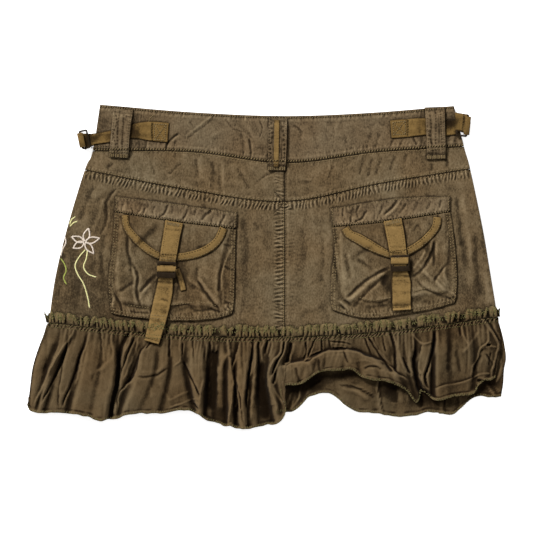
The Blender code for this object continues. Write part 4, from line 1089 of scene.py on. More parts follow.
class Thread:
    """Stitches of one thread, gathered row by row into one mesh."""

    def __init__(self):
        self.rows = []
        self.mesh = bmesh.new()

    def stitch(self, x, y, heading, length, width):
        """Lays one stitch on the cloth."""
        middle, up = skin_at(x, y)
        along = Vector((math.cos(heading), math.sin(heading), 0))
        along = (along - up * along.dot(up)).normalized()
        across = up.cross(along).normalized()
        over = along.cross(across)
        middle = middle + up * width * (0.5 - STITCH_SINK)
        turn = Matrix((over, across, along)).transposed().to_4x4()
        size = Matrix.Diagonal((width, width, length, 1.0))
        bmesh.ops.create_uvsphere(
            self.mesh, u_segments=STITCH_SEGMENTS, v_segments=STITCH_RINGS, radius=0.5,
            matrix=Matrix.Translation(middle) @ turn @ size,
        )

    def row(self, line, pitch, length, width, seed, slant=0.0, wander=0.0, jitter=0.12, shift=0.0):
        """Lays stitches along a line."""
        pitch, length, width, wander = mm(pitch, length, width, wander)
        dice = np.random.RandomState(seed)
        run = run_of(line)
        for at in np.arange(pitch * (0.25 + shift), run[-1], pitch):
            at = at + dice.uniform(-jitter, jitter) * pitch
            x, y = (np.interp(at, run, line[:, i]) for i in (0, 1))
            ahead = [np.interp(at + 0.5 * pitch, run, line[:, i]) for i in (0, 1)]
            behind = [np.interp(at - 0.5 * pitch, run, line[:, i]) for i in (0, 1)]
            heading = math.atan2(ahead[1] - behind[1], ahead[0] - behind[0])
            side = dice.uniform(-wander, wander)
            self.stitch(
                x - math.sin(heading) * side, y + math.cos(heading) * side,
                heading + slant * dice.uniform(0.8, 1.2), length * dice.uniform(0.85, 1.1), width,
            )
        self.gather()

    def along(self, name, side, inset, end, *sizes, **settings):
        """Lays stitches along an edge of a piece, but for a share of it at either end."""
        self.row(SHEETS[name].inset(side, inset, end, 1 - end), *sizes, **settings)

    def gather(self):
        """Sets the stitches made so far aside."""
        row = bpy.data.meshes.new("row")
        self.mesh.to_mesh(row)
        self.mesh.clear()
        self.rows.append(row)

    def finish(self, name, material, slot_name):
        self.gather()
        for row in self.rows:
            self.mesh.from_mesh(row)
            bpy.data.meshes.remove(row)
        link(name, mesh_from(self.mesh, name), material)


# ------------------------------------------------------------------------------------- materials

TWILL_LINE = 1.0 * MM
WEFT_LINE = 0.9 * MM
# How far drawn-up strokes stray, and the two tints that washed cloth varies between
WAVER = 3.8 * MM
CLOTH_TINTS = ((1.07, 1.0, 1.05), (0.98, 1.025, 1.21))


def add_node(tree, kind, inputs=(), **settings):
    """A shader node with its settings, and its inputs set or linked."""
    node = tree.nodes.new(kind)
    for key, value in settings.items():
        setattr(node, key, value)
    for key, value in dict(inputs).items():
        if isinstance(value, bpy.types.NodeSocket):
            tree.links.new(value, node.inputs[key])
        else:
            node.inputs[key].default_value = value
    return node


def calculate(tree, operation, a, b=0.0, c=0.0, clamp=False):
    node = add_node(tree, "ShaderNodeMath", {0: a, 1: b, 2: c}, operation=operation, use_clamp=clamp)
    return node.outputs[0]


def blend_colours(tree, share, a, b, kind="MIX"):
    node = tree.nodes.new("ShaderNodeMix")
    node.data_type = "RGBA"
    node.blend_type = kind
    node.clamp_factor = True
    for key, value in ((0, share), (6, a), (7, b)):
        if isinstance(value, bpy.types.NodeSocket):
            tree.links.new(value, node.inputs[key])
        else:
            node.inputs[key].default_value = value if key == 0 else (*value, 1.0)
    return node.outputs[2]


def weigh(tree, *parts):
    """The sum of some values, each times its weight."""
    total = None
    for value, weight in parts:
        if total is None:
            total = calculate(tree, "MULTIPLY", value, weight)
        else:
            total = calculate(tree, "MULTIPLY_ADD", value, weight, total)
    return total


def sine(tree, value, turns):
    return calculate(tree, "SINE", calculate(tree, "MULTIPLY", value, turns))


def own_place(tree):
    return tree.nodes.new("ShaderNodeTexCoord").outputs["Object"]


def painted(tree, label):
    return add_node(tree, "ShaderNodeAttribute", attribute_name=label).outputs["Fac"]


def mapped(tree, label):
    """The two lengths of a piece's own map."""
    spot = add_node(tree, "ShaderNodeUVMap", uv_map=label).outputs[0]
    split = add_node(tree, "ShaderNodeSeparateXYZ", {0: spot})
    return split.outputs["X"], split.outputs["Y"]


def noise_at(tree, place, scale, detail, roughness=0.55, stretch=None):
    """A noise value about 0, between -0.5 and 0.5 or so."""
    if stretch:
        place = add_node(tree, "ShaderNodeMapping", {"Vector": place, "Scale": stretch}).outputs[0]
    settings = {"Vector": place, "Scale": scale, "Detail": detail, "Roughness": roughness}
    noise = add_node(tree, "ShaderNodeTexNoise", settings).outputs[0]
    return calculate(tree, "SUBTRACT", noise, 0.5)


def new_group(name, inputs, outputs):
    tree = bpy.data.node_groups.new(name, "ShaderNodeTree")
    for label, default in inputs:
        socket = tree.interface.new_socket(label, in_out="INPUT", socket_type="NodeSocketFloat")
        socket.default_value = default
    for label in outputs:
        tree.interface.new_socket(label, in_out="OUTPUT", socket_type="NodeSocketFloat")
    return tree, tree.nodes.new("NodeGroupInput"), tree.nodes.new("NodeGroupOutput")


def grain_group():
    """The grain of washed twill: vertical slubs, wash mottling and a fine twill line."""
    tree, given, made = new_group(
        "washed_grain",
        [("Slub Width", 0.0011), ("Slub Length", 0.005), ("Mottle Size", 0.009)],
        ["Slub", "Mottle", "Cloud", "Weave", "Fleck"],
    )
    place = own_place(tree)
    across, along, mottle = (calculate(tree, "DIVIDE", 1.0, size) for size in given.outputs[:3])
    scale = add_node(tree, "ShaderNodeCombineXYZ", {"X": across, "Y": along, "Z": across}).outputs[0]
    threads = add_node(tree, "ShaderNodeVectorMath", {0: place, 1: scale}, operation="MULTIPLY").outputs[0]
    split = add_node(tree, "ShaderNodeSeparateXYZ", {0: place})
    diagonal = calculate(tree, "MULTIPLY_ADD", split.outputs["Y"], 0.6, split.outputs["X"])
    line = sine(tree, diagonal, 2 * math.pi / TWILL_LINE)
    weft = sine(tree, split.outputs["Y"], 2 * math.pi / WEFT_LINE)
    values = {
        "Slub": noise_at(tree, threads, 1.0, 2.0, 0.6),
        "Mottle": noise_at(tree, place, mottle, 5.0, 0.6),
        "Cloud": noise_at(tree, place, 17.0, 2.0, 0.5),
        "Fleck": noise_at(tree, place, 620.0, 1.0, 0.6, (1.0, 0.7, 1.0)),
        "Weave": calculate(tree, "MULTIPLY_ADD", weft, 0.4, line),
    }
    for label, value in values.items():
        tree.links.new(value, made.inputs[label])


def gathers_group():
    """Uneven strokes, leaning one way or the other, that a seam draws up across itself."""
    tree, given, made = new_group("drawn_up", [("Spacing", 0.0037), ("Lean", 0.17)], ["Strokes"])
    place = own_place(tree)
    along, away = mapped(tree, "seam")
    waver = calculate(tree, "MULTIPLY_ADD", noise_at(tree, place, 80.0, 2.0), WAVER, along)
    lean = calculate(tree, "MULTIPLY", away, given.outputs["Lean"])
    turns = calculate(tree, "DIVIDE", 2 * math.pi, given.outputs["Spacing"])
    both = []
    for operation, stretch in (("ADD", 1.0), ("SUBTRACT", 0.81)):
        leaning = calculate(tree, "MULTIPLY", calculate(tree, operation, waver, lean), stretch)
        both.append(sine(tree, leaning, turns))
    side = calculate(tree, "MULTIPLY_ADD", noise_at(tree, place, 80.0, 1.0), 6.0, 0.5, clamp=True)
    rise = calculate(tree, "SUBTRACT", both[1], both[0])
    strokes = calculate(tree, "MULTIPLY_ADD", rise, side, both[0])
    strength = calculate(tree, "MULTIPLY_ADD", noise_at(tree, place, 150.0, 2.0), 2.4, 1.1)
    strokes = calculate(tree, "MULTIPLY", strokes, calculate(tree, "MAXIMUM", strength, 0.1))
    tree.links.new(calculate(tree, "MULTIPLY", strokes, painted(tree, "pull")), made.inputs["Strokes"])


def webbing_group():
    """The ribs of tan webbing, over its own map."""
    tree, given, made = new_group("webbing_ribs", [("Rib", 0.0016)], ["Rib", "Fleck"])
    across, along = mapped(tree, "run")
    turns = calculate(tree, "DIVIDE", 2 * math.pi, given.outputs["Rib"])
    ribs = calculate(tree, "MULTIPLY_ADD", sine(tree, across, turns), 0.6, sine(tree, along, turns))
    tree.links.new(ribs, made.inputs["Rib"])
    tree.links.new(noise_at(tree, own_place(tree), 640.0, 2.0, 0.6), made.inputs["Fleck"])


def set_inputs(node, values):
    for label, value in values.items():
        node.inputs[label].default_value = value


def new_material(name, roughness, specular, sheen=0.0, metallic=0.0):
    """A material with its plain values on the shader, and its tree to build on."""
    material = bpy.data.materials.new(name)
    material.use_nodes = True
    tree = material.node_tree
    shader = tree.nodes["Principled BSDF"]
    set_inputs(shader, {
        "Roughness": roughness, "Metallic": metallic, "Specular IOR Level": specular,
        "Sheen Weight": sheen, "Sheen Roughness": 0.6,
    })
    return material, tree, shader


def group_in(tree, name):
    return add_node(tree, "ShaderNodeGroup", node_tree=bpy.data.node_groups[name])


def bump(tree, shader, height, distance):
    node = add_node(tree, "ShaderNodeBump", {"Height": height, "Distance": distance})
    tree.links.new(node.outputs[0], shader.inputs["Normal"])


def shade_share(tree, light):
    """How far cloth of a negative tone turns to the deep colour of painted shade, from 0 towards 1."""
    depth = calculate(tree, "MAXIMUM", calculate(tree, "MULTIPLY", light, -1.0), 0.0)
    sharp = calculate(tree, "MULTIPLY_ADD", depth, 1.2, 0.5, clamp=True)
    depth = calculate(tree, "MULTIPLY", depth, calculate(tree, "MULTIPLY", sharp, 1.15))
    return calculate(tree, "SUBTRACT", 1.0, calculate(tree, "POWER", 0.17, depth))


def toned(tree, light, base, worn, deep):
    """The colour of cloth at a tone: the worn colour above 0, for wear and painted highlight, and the deep
    colour of painted shade below it.
    """
    up = calculate(tree, "MULTIPLY", light, 1.0, clamp=True)
    return blend_colours(tree, shade_share(tree, light), blend_colours(tree, up, base, worn), deep)


def twill(name, base, worn, deep, grain=1.0, slub_length=0.005):
    """Washed twill: pale where it stands up, from wear and painted highlight, and dark where it folds in,
    from painted shade.
    """
    material, tree, shader = new_material(name, 0.97, 0.02, sheen=0.012)
    tone = group_in(tree, "washed_grain")
    tone.inputs["Slub Length"].default_value = slub_length
    slub, mottle, cloud, weave, fleck = tone.outputs[:5]
    drawn = group_in(tree, "drawn_up").outputs["Strokes"]
    # Grain and tint are the cloth's own; the drawn-up strokes and the painted attribute add painted shade
    # and highlight
    light = weigh(
        tree, (slub, 0.7 * grain), (fleck, 1.1 * grain), (mottle, 1.05 * grain), (cloud, 0.8),
        (drawn, 0.62), (painted(tree, "wear"), 0.62),
    )
    colour = toned(tree, light, base, worn, deep)
    green = calculate(tree, "MULTIPLY_ADD", cloud, 2.5, 0.5, clamp=True)
    tint = blend_colours(tree, green, *CLOTH_TINTS)
    tree.links.new(blend_colours(tree, 1.0, colour, tint, "MULTIPLY"), shader.inputs["Base Color"])
    height = weigh(tree, (weave, 0.12), (slub, 1.0), (mottle, 1.7 * grain), (drawn, 0.9))
    bump(tree, shader, height, 0.00055)
    return material


def webbing(name, base, worn, deep):
    """Ribbed webbing, grimy and worn, with painted shade and highlight at its edges and folds."""
    material, tree, shader = new_material(name, 0.93, 0.04, sheen=0.02)
    rib, fleck = group_in(tree, "webbing_ribs").outputs[:2]
    grime = noise_at(tree, own_place(tree), 120.0, 5.0, 0.65)
    light = weigh(tree, (rib, 0.02), (fleck, 1.1), (grime, 1.25), (painted(tree, "wear"), 0.6))
    tree.links.new(toned(tree, light, base, worn, deep), shader.inputs["Base Color"])
    bump(tree, shader, weigh(tree, (rib, 0.15), (fleck, 1.6)), 0.0002)
    return material


def thread_material(name, base, worn, sheen=0.03):
    """Spun thread, flecked between two colours."""
    material, tree, shader = new_material(name, 0.97, 0.02, sheen=sheen)
    place = own_place(tree)
    share = calculate(tree, "MULTIPLY_ADD", noise_at(tree, place, 420.0, 3.0, 0.6), 2.2, 0.5, clamp=True)
    tree.links.new(blend_colours(tree, share, base, worn), shader.inputs["Base Color"])
    bump(tree, shader, noise_at(tree, place, 2600.0, 2.0), 0.0001)
    return material


def metal(name, base, worn):
    """Dark antique metal, rubbed brighter on its edges."""
    material, tree, shader = new_material(name, 0.7, 0.05, metallic=0.1)
    rub = noise_at(tree, own_place(tree), 260.0, 4.0, 0.7)
    pointed = tree.nodes.new("ShaderNodeNewGeometry").outputs["Pointiness"]
    edge = calculate(tree, "MULTIPLY", calculate(tree, "SUBTRACT", pointed, 0.53), 7.0)
    share = calculate(tree, "MULTIPLY_ADD", rub, 0.6, edge, clamp=True)
    tree.links.new(blend_colours(tree, share, base, worn), shader.inputs["Base Color"])
    rough = calculate(tree, "MULTIPLY_ADD", rub, 0.5, 0.5, clamp=True)
    tree.links.new(rough, shader.inputs["Roughness"])
    bump(tree, shader, rub, 0.0001)
    return material


# ------------------------------------------------------------------------------------- settings

SIDES = ("left", "right")
# The edge of a side's pieces that lies at the middle of the skirt
INNER = {"left": "right", "right": "left"}


def colour_setting(name, description, default):
    return FloatVectorProperty(name=name, description=description, subtype="COLOR", size=3, default=default)


def length_setting(name, description, default):
    return FloatProperty(name=name, description=description, default=default, unit="LENGTH")


class SkirtCloth(PropertyGroup):
    """Colours and relief of the cloth."""

    twill: colour_setting("Twill", "Colour of the body", (0.108, 0.075, 0.034))
    # The worn colour also serves as painted highlight on ridges; the deep colour is painted shade in folds
    twill_worn: colour_setting("Worn twill", "Colour of the body where it is rubbed", (0.222, 0.164, 0.083))
    twill_in_shade: colour_setting("Deep twill", "Colour of the body in its folds", (0.010, 0.0065, 0.003))
    flounce: colour_setting("Flounce", "Colour of the flounce", (0.068, 0.045, 0.019))
    webbing: colour_setting("Webbing", "Colour of the straps and tapes", (0.178, 0.110, 0.038))
    crease_share: FloatProperty(
        name="Crease depth", description="How deep the creases are pressed", default=1.0, min=0.0, max=2.0
    )
    swell_height: length_setting("Swell", "Height of the soft undulations", 0.35 * MM)


class SkirtThread(PropertyGroup):
    """Sizes and colours of the sewing."""

    stitch_pitch: length_setting("Stitch pitch", "From one stitch to the next", 3.0 * MM)
    stitch_length: length_setting("Stitch length", "Length of a stitch", 2.1 * MM)
    stitch_width: length_setting("Stitch width", "Thickness of the sewing thread", 0.8 * MM)
    sewing: colour_setting("Sewing thread", "Colour of the sewing thread", (0.250, 0.180, 0.088))
    overlock: colour_setting("Overlock thread", "Colour of the overlock", (0.150, 0.132, 0.056))


class SkirtStage(PropertyGroup):
    """Camera, floor and light."""

    camera_height: length_setting("Camera height", "Camera over the floor", 3.0)
    view_width: length_setting("View width", "Floor seen from side to side", 533 * SQUARE)
    key_strength: FloatProperty(name="Key light", description="Strength of the large light", default=4.7)
    sky_strength: FloatProperty(name="Sky", description="Strength of the even light", default=0.45)


CLOTH = {}


def tinted(colour, *shares):
    return tuple(part * share for part, share in zip(colour, shares))


def make_materials(context):
    """All finishes, from the colours in the settings."""
    cloth, thread = context.scene.skirt_cloth, context.scene.skirt_thread
    grain_group()
    gathers_group()
    webbing_group()
    base, worn, deep = tuple(cloth.twill), tuple(cloth.twill_worn), tuple(cloth.twill_in_shade)
    ruffle, strap = tuple(cloth.flounce), tuple(cloth.webbing)
    sewing, overlock = tuple(thread.sewing), tuple(thread.overlock)
    # Each cloth finish: its colour, a paler worn colour that also paints highlights, and a deep colour of
    # painted shade
    CLOTH.update(
        body=twill("washed_twill_body", base, worn, deep),
        band=twill("washed_twill_band", tinted(base, 1.04, 1.05, 1.12), worn, deep),
        pocket=twill(
            "washed_twill_pocket", tinted(base, 0.89, 0.87, 0.84), tinted(worn, 1.0, 0.98, 0.94), deep
        ),
        flounce=twill(
            "washed_twill_flounce", ruffle, tinted(ruffle, 1.9, 1.97, 2.1),
            tinted(ruffle, 0.055, 0.035, 0.015), grain=0.55,
        ),
        frill=twill(
            "overlocked_frill", tinted(ruffle, 0.9, 0.94, 0.95), tinted(ruffle, 2.4, 2.55, 2.4),
            tinted(ruffle, 0.03, 0.025, 0.01), grain=0.9, slub_length=0.004,
        ),
        strap=webbing("tan_webbing", strap, tinted(strap, 1.55, 1.57, 1.6), tinted(strap, 0.05, 0.04, 0.03)),
        tape=webbing(
            "tan_tape", tinted(strap, 0.88, 0.88, 0.88), tinted(strap, 1.4, 1.42, 1.45),
            tinted(strap, 0.05, 0.04, 0.03),
        ),
        side_strap=webbing(
            "faded_webbing", tinted(strap, 0.68, 0.66, 0.60), tinted(strap, 1.3, 1.3, 1.25),
            tinted(strap, 0.04, 0.03, 0.03),
        ),
        sewing=thread_material("sewing_thread", tinted(sewing, 0.55, 0.55, 0.5), sewing),
        dark_sewing=thread_material("dark_thread", (0.010, 0.007, 0.003), (0.034, 0.024, 0.011), 0.0),
        overlock=thread_material(
            "overlock_thread", tinted(overlock, 0.36, 0.36, 0.3), tinted(overlock, 1.4, 1.38, 1.2)
        ),
        hem_thread=thread_material(
            "hem_thread", tinted(overlock, 0.30, 0.27, 0.24), tinted(overlock, 1.15, 1.08, 1.05)
        ),
        metal=metal("antique_metal", (0.016, 0.010, 0.005), (0.085, 0.060, 0.034)),
        petal=thread_material("petal_thread", (0.50, 0.42, 0.34), (0.72, 0.62, 0.52), 0.2),
        stem=thread_material("stem_thread", (0.56, 0.52, 0.22), (0.74, 0.70, 0.36), 0.2),
        leaf=thread_material("leaf_thread", (0.20, 0.22, 0.035), (0.33, 0.36, 0.07), 0.2),
    )


# The smallest cut that may be stated, and the smallest share of its width times its length
LEAST_AREA = 0.31


def declare(sheet, fullness):
    """Works out the cut of a sheet, its width and length before it was gathered and its area, but passes
    none of it on.
    """
    runs = sheet.runs()
    width, length = float(runs["left"][:, -1].mean()) * fullness, float(runs["top"][-1].mean())
    corners = np.stack([sheet.x, sheet.y], axis=-1)
    a, b = corners[1:, 1:] - corners[:-1, :-1], corners[1:, :-1] - corners[:-1, 1:]
    area = float(np.abs(a[..., 0] * b[..., 1] - a[..., 1] * b[..., 0]).sum() / 2) * fullness
    area = min(max(area, LEAST_AREA * width * length), width * length)


def outfit(name, sheet, wall, finish, slot_name, *rests_on, held="laid", fullness=1.0):
    """Sews a sheet that stands for the solid of the same name."""
    piece = sew(name, sheet, wall, CLOTH[finish], (name,))
    declare(sheet, fullness)


# ------------------------------------------------------------------------------------- front

FRONT_HEM = [
    (31, 404), (60, 406), (100, 408), (150, 408), (200, 410), (240, 412), (262, 412), (280, 412),
    (292, 411), (300, 406), (308, 397.5), (316, 394), (324, 392.5), (332, 395), (340, 401), (348, 407),
    (356, 411.5), (372, 413), (380, 413.6), (393, 416.7), (404, 416), (414.4, 415), (428, 412),
    (440, 413.5), (453, 414.5), (461, 407), (467, 402), (474, 397.7), (483, 396.4), (488.5, 397.7),
    (495, 397), (500.5, 396),
]
FRONT_LEFT = [(50, 324), (46, 345), (40, 370), (31, 404)]
FRONT_RIGHT = [(497, 319), (501, 332), (504, 346), (505.3, 359), (503.5, 369), (502.5, 384), (500.5, 396)]
BACK_HEM = [
    (27.5, 405), (30, 410), (36, 412), (46, 412.5), (60, 412), (68, 413), (76, 414), (84, 415.5),
    (92, 417.5), (100, 421), (106, 419), (111, 418.5), (116, 418), (122, 415.5), (132, 414), (140, 413),
    (152, 413), (164, 413), (172, 411.5), (180, 410), (188, 410), (196, 413), (202, 416.5), (210, 421),
    (218, 423.5), (228, 425.5), (236, 427), (244, 429), (252, 427.5), (260, 426), (268, 424.5),
    (276, 423), (281, 419.5), (285, 412), (284.5, 404.5), (281, 396), (280, 390), (284, 386),
    (297.4, 384.6), (306.5, 379.6), (316.4, 373), (324, 371.3), (338, 370.2), (351, 369.7), (361, 376.3),
    (373.7, 379.6), (386, 381.3), (400, 387), (406, 391), (411, 398), (416, 402), (418.5, 397),
    (420, 392), (424, 393), (430, 398), (436, 400.5), (447, 397.3), (460, 395.5), (473, 392.5),
    (477.5, 384.5), (482, 381), (490, 379.5), (494.5, 377),
]
BACK_LEFT = [(46.5, 324), (43.5, 334), (39, 346), (35, 358), (32, 370), (30.5, 382), (29, 394), (27.5, 405)]
BACK_RIGHT = [(497.5, 317), (498.5, 330), (499.5, 345), (498.7, 352), (496.5, 365), (494.5, 377)]
# How much a step down counts in the spacing of a hem's points, the width of a flounce's grid in its seam's,
# and its lowest face over the floor
RISE_SHARE = 0.3
FLOUNCE_SPREAD = 1.12
FLOUNCE_LOW = 1.6 * MM
SEAM_LAP_MM = 2.0


def seam_line(family):
    """The lower edges of the two panels of a family, as one line from left to right."""
    return np.concatenate([four_sides(rim_of(f"{family}_{side}"))[2] for side in SIDES])


def hem_line(places, count):
    """A hem as so many points, spaced mostly by how far they are across."""
    line = through(drafted(places), 0.8 * MM)
    steps = np.abs(np.diff(line, axis=0))
    run = np.concatenate([[0.0], np.cumsum(steps[:, 0] + RISE_SHARE * steps[:, 1])])
    at = np.linspace(0, run[-1], count)
    return np.stack([np.interp(at, run, line[:, i]) for i in (0, 1)], axis=1)


def flounce_sheet(node, line, left, right, places, step, reach):
    """The sheet of a flounce, from its seam line down to its hem."""
    line = through(line, step / 2)
    left, right = through(drafted(left), step / 2), through(drafted(right), step / 2)
    columns = int(run_of(line)[-1] * FLOUNCE_SPREAD / step)
    rows = int(max(run_of(left)[-1], run_of(right)[-1]) / step) + 1
    top = spaced(line, columns)
    left[0], right[0] = top[0], top[-1]
    x, y = between(top, spaced(right, rows), hem_line(places, columns), spaced(left, rows))
    z = heights_on(cad_tree(node), x, y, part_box(node)[1].z)
    return Sheet(x, y, soften(z, reach * MM, step), step)


def gather(sheet, depth, pitch, fade):
    """Fine gathers that run down from the top edge and fade out."""
    depth, pitch, fade = mm(depth, pitch, fade)
    down, along = sheet.from_edge("top")
    along = along * (along[0, -1] / np.maximum(along[:, -1:], 1e-6))
    waver = 1.9 * pitch * drift(along, down * 0.15, 4.2 * pitch, 2)
    phase = 2 * math.pi * (along + waver) / pitch
    coarse = 2 * math.pi * (along + waver) / (2.7 * pitch)
    strength = 0.55 + 0.75 * drift(along, down * 0.3, 3.0 * pitch, 5)
    fine = np.sin(phase) * np.exp(-down / fade)
    broad = np.sin(coarse + 1.0) * np.exp(-down / (2.2 * fade)) * ease(down / (5 * MM))
    sheet.z = sheet.z + depth * strength * fine + 0.22 * depth * broad * strength


def hem(sheet):
    """Marks the overlocked edge: a paler strip below a dark line, and a little uneven."""
    away, along = sheet.from_edge("bottom")
    sheet.y += 0.7 * MM * ripple(along, 6 * MM, 3) * bell(away, 4 * MM)
    uneven = np.clip(0.6 + 1.1 * ripple(along, 5 * MM, 6), 0, 1.4)
    sheet.wear += 0.5 * bell(away - 1.6 * MM, 1.3 * MM)
    sheet.wear -= 0.8 * uneven * bell(away - 4.2 * MM, 0.7 * MM)
    sheet.z -= 0.5 * MM * uneven * bell(away - 4.0 * MM, 0.9 * MM)


class SKIRT_OT_front(Operator):
    """Lays the front of the skirt face down"""

    bl_idname = "skirt.lay_front"
    bl_label = "Lay the front"

    def execute(self, context):
        for side, inner in INNER.items():
            for name, edge, wall, finish, slot_name in (
                (f"waistband_front_{side}", "bottom", BAND_WALL, "band", "waistband_twill"),
                (f"panel_front_{side}", "top", CLOTH_WALL, "body", "body_twill"),
            ):
                sheet = laid_over(name, FRONT_STEP, 0)
                let_out(sheet, edge, SEAM_LAP_MM)
                let_out(sheet, inner, SEAM_LAP_MM)
                outfit(name, sheet, wall, finish, slot_name, "floor")
        line = seam_line("panel_front")
        sheet = flounce_sheet(
            "ruffle_front", line, FRONT_LEFT, FRONT_RIGHT, FRONT_HEM, FRONT_FLOUNCE_STEP, 3
        )
        crease(sheet, FRONT_FLOUNCE_CREASES, context.scene.skirt_cloth.crease_share)
        swell(sheet, 0.4, 17, 1)
        hem(sheet)
        outfit(
            "ruffle_front", sheet, CLOTH_WALL, "flounce", "flounce_twill", "floor",
            held="gathered", fullness=1.2,
        )
        return {"FINISHED"}


# ------------------------------------------------------------------------------------- body

# How far down the cloth is drawn up under the yoke, and in from the middle seam
YOKE_PULL_MM = 9.5
SEAM_PULL_MM = 11


class SKIRT_OT_body(Operator):
    """Sews the back panels and the yoke"""

    bl_idname = "skirt.sew_body"
    bl_label = "Sew the back"

    def execute(self, context):
        cloth = context.scene.skirt_cloth
        swell_mm = cloth.swell_height / MM
        for layer, (side, inner) in enumerate(INNER.items()):
            left = side == "left"
            name = f"panel_back_{side}"
            sheet = laid_over(name, PANEL_STEP, 8)
            swell(sheet, swell_mm, 26, layer)
            crumple(sheet, 0.22, 21, layer + 1)
            crease(sheet, PANEL_CREASES, cloth.crease_share)
            pucker(sheet, "top", 0.3, 5.2, 0.6, YOKE_PULL_MM, 0.4, layer)
            sheet.draw_up("top", 1.1 * sheet.near("top", YOKE_PULL_MM))
            pucker(sheet, inner, 0.4 if left else 0.15, 4.6, 0.8, SEAM_PULL_MM, 0.15, layer + 2)
            if left:
                sheet.draw_up(inner, 0.8 * sheet.near(inner, SEAM_PULL_MM))
            seam(sheet, "top", 1.4, 3.2, 0.3, layer)
            seam(sheet, inner, 1.4, 3.4, 0.3, layer)
            outfit(name, sheet, CLOTH_WALL, "body", "body_twill", f"panel_front_{side}")
            name = f"yoke_back_{side}"
            sheet = laid_over(name, PANEL_STEP, 6)
            swell(sheet, swell_mm, 19, layer + 4)
            crumple(sheet, 0.25, 16, layer + 6)
            crease(sheet, YOKE_CREASES, cloth.crease_share)
            pucker(sheet, "top", 0.15, 7.0, 0.5, 5, 0.3, layer + 1)
            pucker(sheet, "bottom", 0.3, 4.6, 0.4, 4, 0.4, layer + 3)
            seam(sheet, "bottom", 1.3, 3.3, 0.2, layer)
            seam(sheet, inner, 1.4, 3.4, 0.3, layer)
            if left:
                pucker(sheet, inner, 0.6, 4.6, 0.8, SEAM_PULL_MM, 0.15, layer + 5)
            outfit(name, sheet, CLOTH_WALL, "body", "body_twill", f"panel_front_{side}")
        return {"FINISHED"}


class SKIRT_OT_waistband(Operator):
    """Sews the waistband over the yoke"""

    bl_idname = "skirt.sew_waistband"
    bl_label = "Sew the waistband"

    def execute(self, context):
        cloth = context.scene.skirt_cloth
        for layer, side in enumerate(SIDES):
            name = f"waistband_back_{side}"
            sheet = laid_over(name, BAND_STEP, 5)
            swell(sheet, 0.8 * cloth.swell_height / MM, 17, layer + 5)
            crumple(sheet, 0.2, 13, layer + 2)
            crease(sheet, BAND_CREASES, cloth.crease_share)
            pucker(sheet, "top", 0.3, 6.6, 0.4, 6.5, 0.1, layer)
            pucker(sheet, "bottom", 0.25, 6.4, 0.4, 8.5, 0.4, layer + 2)
            seam(sheet, "top", 2.2, 3.1, 0.45, layer)
            seam(sheet, "bottom", 1.8, 3.3, 0.45, layer + 1)
            outfit(name, sheet, BAND_WALL, "band", "waistband_twill", f"waistband_front_{side}")
        return {"FINISHED"}


# ------------------------------------------------------------------------------------- flounce

FRILL_HEIGHT = 10.5 * MM
FRILL_PITCH = 5.0 * MM
FRILL_SWING = 2.4 * MM
FRILL_CURL = 2.2 * MM
FRILL_LEAN = 2.6
FRILL_SPLAY = 2.9 * MM
FRILL_STEP = 0.62 * MM
FRILL_ROWS = 12
FRILL_PAST = 3.0 * MM


class SKIRT_OT_flounce(Operator):
    """Gathers the back flounce and its frilled heading"""

    bl_idname = "skirt.gather_flounce"
    bl_label = "Gather the flounce"

    def execute(self, context):
        line = seam_line("panel_back")
        sheet = flounce_sheet("ruffle_back", line, BACK_LEFT, BACK_RIGHT, BACK_HEM, FLOUNCE_STEP, 1.3)
        gather(sheet, 0.75, 5.8, 20)
        pucker(sheet, "top", 0.3, 3.6, 0.3, 6, 0.1, 3)
        sheet.draw_up("top", 1.2 * sheet.near("top", 5))
        swell(sheet, 0.5, 15, 6)
        crumple(sheet, 0.25, 19, 2)
        crease(sheet, FLOUNCE_CREASES, context.scene.skirt_cloth.crease_share)
        sheet.z = np.maximum(sheet.z, CLOTH_WALL + FLOUNCE_LOW)
        hem(sheet)
        outfit(
            "ruffle_back", sheet, CLOTH_WALL, "flounce", "flounce_twill", "ruffle_front",
            held="gathered", fullness=1.6,
        )
        outfit(
            "ruffle_heading", frill_sheet(line), TAPE_WALL, "frill", "overlocked_heading",
            "panel_back_left", "panel_back_right", held="gathered", fullness=1.7,
        )
        return {"FINISHED"}


def frill_phase(run):
    """How far the frill has waved along its seam."""
    waver = 2.1 * ripple(run, 3.3 * FRILL_PITCH, 4) + 0.5 * ripple(run, 1.4 * FRILL_PITCH, 7)
    return 2 * math.pi * (run / FRILL_PITCH + waver)


